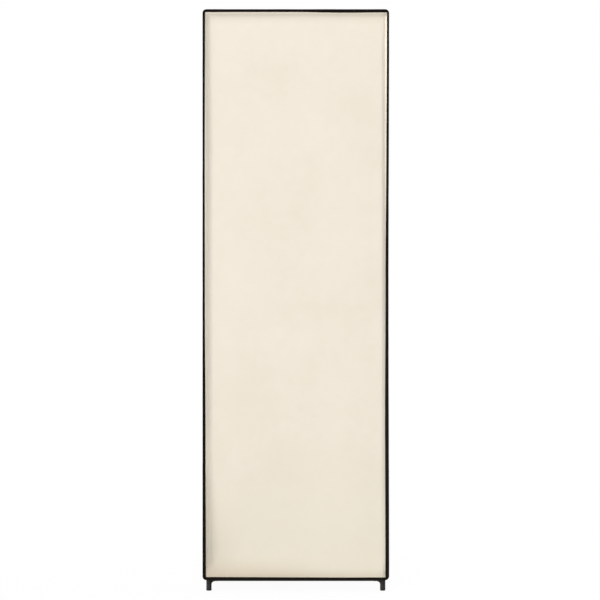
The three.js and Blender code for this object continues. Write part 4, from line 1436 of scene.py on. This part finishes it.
def pressed_hollow(mesh, face, centre):
    """Presses a hollow into the wide part of a tab's face, inside an even rim"""
    upper = [vert for vert in face.verts if vert.co.z > centre.z]
    shoulders = []
    for way in (-1, 1):
        shoulders.append(min((v for v in upper if (v.co.x - centre.x) * way > 0), key=lambda v: v.co.z))
    bmesh.ops.connect_verts(mesh, verts=shoulders)
    shared = set(shoulders[0].link_faces) & set(shoulders[1].link_faces)
    wide = min(shared, key=lambda face: face.calc_center_bounds().z)
    middle = wide.calc_center_bounds()
    way = Vector((0, math.copysign(TAB_HOLLOW_DEPTH, wide.normal.y), 0))
    for rim, sunk in ((TAB_HOLLOW_EDGE, 0), (TAB_HOLLOW_DEPTH, 1)):
        half = Vector([max(abs(v.co[i] - middle[i]) for v in wide.verts) or 1.0 for i in range(3)])
        bmesh.ops.inset_region(mesh, faces=[wide], thickness=0)
        smaller = Vector((1 - rim / half.x, 1, 1 - rim / half.z))
        bmesh.ops.scale(mesh, vec=smaller, space=Matrix.Translation(-middle), verts=wide.verts)
        bmesh.ops.translate(mesh, vec=way * -sunk, verts=wide.verts)


neck_low = PIN_HEIGHT - TAB_NECK
taper = neck_low - TAB_NECK / 2
neck_high = PIN_HEIGHT - EYE_RADIUS * TAB_SHOULDER_SHARE
tab_half = [
    (EYE_HALF_WIDTH, neck_high), (EYE_HALF_WIDTH, neck_low), (TAB_HALF, taper), (TAB_HALF, tab_low.z),
]
eye_outline = pipe_outline(EYE_HOLE_RADIUS, EYE_RADIUS, EYE_HALF_WIDTH * 2, TAB_EASE, TAB_EASE / 2)
for side_name, side in SIDES.items():
    middle = side * ZIP_X
    faces = (PIN_OUT - TAB_HALF_THICKNESS, PIN_OUT + TAB_HALF_THICKNESS)
    grip = slab(both_sides(middle, tab_half), *faces, TAB_EASE * 2, TAB_EASE)
    grip.normal_update()
    wide = [face for face in grip.faces if face.calc_area() > TAB_HALF * TAB_NECK]
    for face in [face for face in wide if abs(face.normal.y) > FLAT_FACING]:
        pressed_hollow(grip, face, Vector((middle, 0, (tab_low.z + taper) / 2)))
    eye_start = Vector((middle - EYE_HALF_WIDTH, -HALF_Y - PIN_OUT, PIN_HEIGHT))
    eye = bmesh.new()
    turned(eye, eye_outline, eye_start, ALONG[0], PIN_SIDES)
    node = f"pull_tab_{side_name}"
    mesh = gathered([grip, eye])
    piece("stamped_" + node, mesh, metal_finish, [node], body=f"pull_{side_name}")


# Tie straps
# Two black webbing straps, box-stitched to the header, that hold the rolled door. Their lower ends
# are folded up and sewn.
STRAP_THICKNESS = 0.001
STRAP_SEWN = 0.016
STRAP_BEND = 0.024
STRAP_BEND_STEPS = 6
STRAP_STEP = 0.008
STRAP_FOLD = 0.014
STRAP_SEWN_OUT = 0.0106
STRAP_STITCH_INSET = 0.0025
STRAP_CURL = 0.0004
STRAP_CURLS_PER_METRE = 22
STRAP_CURL_SEED = 3.0
STRAP_RIBS_PER_METRE = 620.0
STRAP_COLUMNS = 6

strap_webbing = webbing(
    "black_webbing", seen_colour(19, 17, 16), seen_colour(46, 42, 38), STRAP_RIBS_PER_METRE,
)
for side_name, side in SIDES.items():
    node = f"tie_strap_{side_name}"
    body = f"strap_{side_name}"
    strap_low, strap_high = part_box(node)
    strap_out = -HALF_Y - strap_low.y - STRAP_THICKNESS / 2

    def strap_place(across, down):
        bend = smooth((down - STRAP_SEWN) / STRAP_BEND)
        spot = Vector((side * STRAP_CURL_SEED, down * STRAP_CURLS_PER_METRE, 0))
        curl = STRAP_CURL * bend * noise.noise(spot)
        out = STRAP_SEWN_OUT + (strap_out - STRAP_SEWN_OUT) * bend - abs(curl)
        return Vector((across, -HALF_Y - out, strap_high.z - down))

    strap_columns = even_steps(strap_low.x, strap_high.x, (strap_high.x - strap_low.x) / STRAP_COLUMNS)
    length = strap_high.z - strap_low.z
    bend_end = STRAP_SEWN + STRAP_BEND
    downs = even_steps(0, STRAP_SEWN, STRAP_SEWN / 2)[:-1]
    downs += even_steps(STRAP_SEWN, bend_end, STRAP_BEND / STRAP_BEND_STEPS)[:-1]
    downs += even_steps(bend_end, length, STRAP_STEP)
    mesh = cloth_sheet(strap_columns, downs, strap_place)
    piece("webbing_" + node, mesh, strap_webbing, [node], body, STRAP_THICKNESS)

    def fold_place(across, down):
        return strap_place(across, down) + FRONT * STRAP_THICKNESS

    fold_rows = even_steps(length - STRAP_FOLD, length, STRAP_FOLD / 3)
    mesh = cloth_sheet(strap_columns, fold_rows, fold_place)
    piece(f"fold_{node}", mesh, strap_webbing, (), body, STRAP_THICKNESS)

    inset = STRAP_STITCH_INSET
    left, right = strap_low.x + inset, strap_high.x - inset
    low, high = strap_high.z - STRAP_SEWN + inset, strap_high.z - inset
    sewn_front = -HALF_Y - STRAP_SEWN_OUT - STRAP_THICKNESS / 2
    corners = [Vector((x, sewn_front, z)) for x, z in box_outline(left, right, low, high)]
    mesh = bmesh.new()
    for one, other in ((0, 1), (1, 2), (2, 3), (3, 0), (0, 2), (1, 3)):
        stitch_row(mesh, corners[one], corners[other], FRONT)
    fold_front = strap_place(left, length).y - STRAP_THICKNESS * 1.5
    for z in (strap_low.z + inset, strap_low.z + STRAP_FOLD - inset):
        stitch_row(mesh, Vector((left, fold_front, z)), Vector((right, fold_front, z)), FRONT)
    piece(f"stitches_{node}", mesh, black_thread, body=body)


# Shelves
# A cloth deck at the foot and one above it, each with a sleeve sewn along its front and back edge
# that the rails run through. The decks sag a little between the rails.
SLEEVE_THICKNESS = 0.0006
SLEEVE_CLEAR = 0.0002
SLEEVE_FLAP = 0.026
SLEEVE_FLAP_DROP = 0.0013
SLEEVE_STEPS = 20
SLEEVE_END = 0.027
DECK_END = 0.011
DECK_SIDE = 0.016
DECK_STEP = 0.010
SHELF_SAG = 0.006
SHELF_CREASE = 0.0008
SHELF_CREASE_STRETCH = 0.8
SHELF_COLUMN_STEP = 0.014
SLEEVE_CUT = 0.0072
SHELVES = {"floor_shelf": ("bottom", 81.0), "middle_shelf": ("shelf", 93.0)}

SLEEVE_RADIUS = TUBE_RADIUS + SLEEVE_CLEAR + SLEEVE_THICKNESS / 2


def deck_height(height, y):
    """How high the deck lies between rails at this height"""
    share = y / HALF_Y
    return height + SLEEVE_RADIUS - SHELF_SAG * (1 - share * share)


def shelf_line(height):
    """The section of a shelf from front to back: flap, round the rail, deck, round the rail, flap"""
    flap_y = -SLEEVE_FLAP
    flap_z = SLEEVE_RADIUS - SLEEVE_FLAP_DROP
    start = math.atan2(flap_z, flap_y) + math.acos(SLEEVE_RADIUS / math.hypot(flap_y, flap_z))
    half = [(HALF_Y + flap_y, height + flap_z)]
    stop = math.tau + math.pi / 2
    for angle in even_steps(start, stop, (stop - start) / SLEEVE_STEPS):
        half.append((HALF_Y + SLEEVE_RADIUS * math.cos(angle), height + SLEEVE_RADIUS * math.sin(angle)))
    deck = [(y, deck_height(height, y)) for y in even_steps(HALF_Y, -HALF_Y, DECK_STEP)[1:-1]]
    return half, deck


sleeve_half = HALF_X - SLEEVE_END
deck_half = HALF_X - DECK_END
shelf_columns = [-deck_half] + even_steps(-sleeve_half, sleeve_half, SHELF_COLUMN_STEP) + [deck_half]
for node, (level, seed) in SHELVES.items():
    height = heights[level]
    half, deck = shelf_line(height)
    line = half + deck + [(-y, z) for y, z in reversed(half)]

    def shelf_place(across, index):
        y, z = line[int(index)]
        on_deck = len(half) <= index < len(half) + len(deck)
        fade = smooth((HALF_Y - abs(y)) / BILLOW_FADE) if on_deck else 0
        crease = ripple(across * SHELF_CREASE_STRETCH, y, seed) + loose(across, y, seed) - 0.5
        return Vector((across, y, z + SHELF_CREASE * crease * fade))

    mesh = cloth_sheet(shelf_columns, list(range(len(line))), shelf_place)
    sleeves = []
    for face in mesh.faces:
        middle = face.calc_center_median()
        off_deck = abs(middle.y) > HALF_Y - DECK_SIDE or middle.z < height + SLEEVE_RADIUS - SLEEVE_CUT
        if abs(middle.x) > sleeve_half and off_deck:
            sleeves.append(face)
    bmesh.ops.delete(mesh, geom=sleeves, context="FACES")
    lengths = [0.0]
    for (y, z), (next_y, next_z) in zip(line, line[1:]):
        lengths.append(lengths[-1] + math.hypot(next_y - y, next_z - z))
    flat = mesh.loops.layers.uv.active
    for face in mesh.faces:
        for loop in face.loops:
            loop[flat].uv = (loop[flat].uv.x, lengths[round(loop[flat].uv.y)])
    shelf = piece("cloth_" + node, mesh, cloth_finish, [node], thickness=SLEEVE_THICKNESS)
    cut = (2 * deck_half, lengths[-1])
    notch = 2 * (lengths[-1] - 2 * (HALF_Y - DECK_SIDE)) * (deck_half - sleeve_half)
    cut[0] * cut[1] - notch
    seam_y = HALF_Y - SLEEVE_FLAP + STITCH_PITCH
    seam_z = deck_height(height, seam_y) + SLEEVE_THICKNESS / 2
    mesh = bmesh.new()
    for y in (-seam_y, seam_y):
        stitch_row(mesh, Vector((-sleeve_half, y, seam_z)), Vector((sleeve_half, y, seam_z)), ALONG[2])
    piece(f"stitches_{node}", mesh, cream_thread)


# Seams
# A black tape covers the header's lower edge, out to the far edges of the zips' tapes, and a row of
# cream stitches holds the turned-up hem of the cloth.
HEADER_TAPE_WIDTH = 0.0095
HEADER_TAPE_THICKNESS = 0.0004
HEADER_TAPE_LIFT = 0.00045
HEM_SEAM_RISE = 0.014

header_lifted = upright_surface(-1, HEADER_SEED, inside_header, HEADER_TAPE_LIFT)
columns = even_steps(-ZIP_X - TAPE_WIDTH, ZIP_X + TAPE_WIDTH, PANEL_STEP)
rows = even_steps(HEADER_EDGE, HEADER_EDGE + HEADER_TAPE_WIDTH, HEADER_TAPE_WIDTH / 3)
mesh = cloth_sheet(columns, rows, header_lifted)
piece("binding_header", mesh, tape_finish, thickness=HEADER_TAPE_THICKNESS)

hem_seam = HEM_EDGE + HEM_SEAM_RISE
above_cloth = CLOTH_THICKNESS / 2
on_back = upright_surface(1, BACK_SEED, inside_back, above_cloth)
on_stile = upright_surface(-1, STILE_SEED, inside_stile, above_cloth)
hem_seams = {
    "back": (on_back, ALONG[1], ALONG[0], -HALF_X, HALF_X),
    "stile_right": (on_stile, FRONT, ALONG[0], STILE_EDGE, HALF_X),
    "stile_left": (on_stile, FRONT, ALONG[0], -HALF_X, -STILE_EDGE),
}
for side_name, side in SIDES.items():
    on_side = side_surface(side, SIDE_SEEDS[side_name], above_cloth)
    hem_seams[f"side_{side_name}"] = (on_side, ALONG[0] * side, ALONG[1], -HALF_Y, HALF_Y)
for seam_name, (surface, out, way, start, stop) in hem_seams.items():
    places = even_steps(start, stop, STITCH_PITCH)[1:-1]
    mesh = bmesh.new()
    stitches(mesh, [surface(place, hem_seam) for place in places], way, out)
    piece(f"hem_stitches_{seam_name}", mesh, cream_thread)
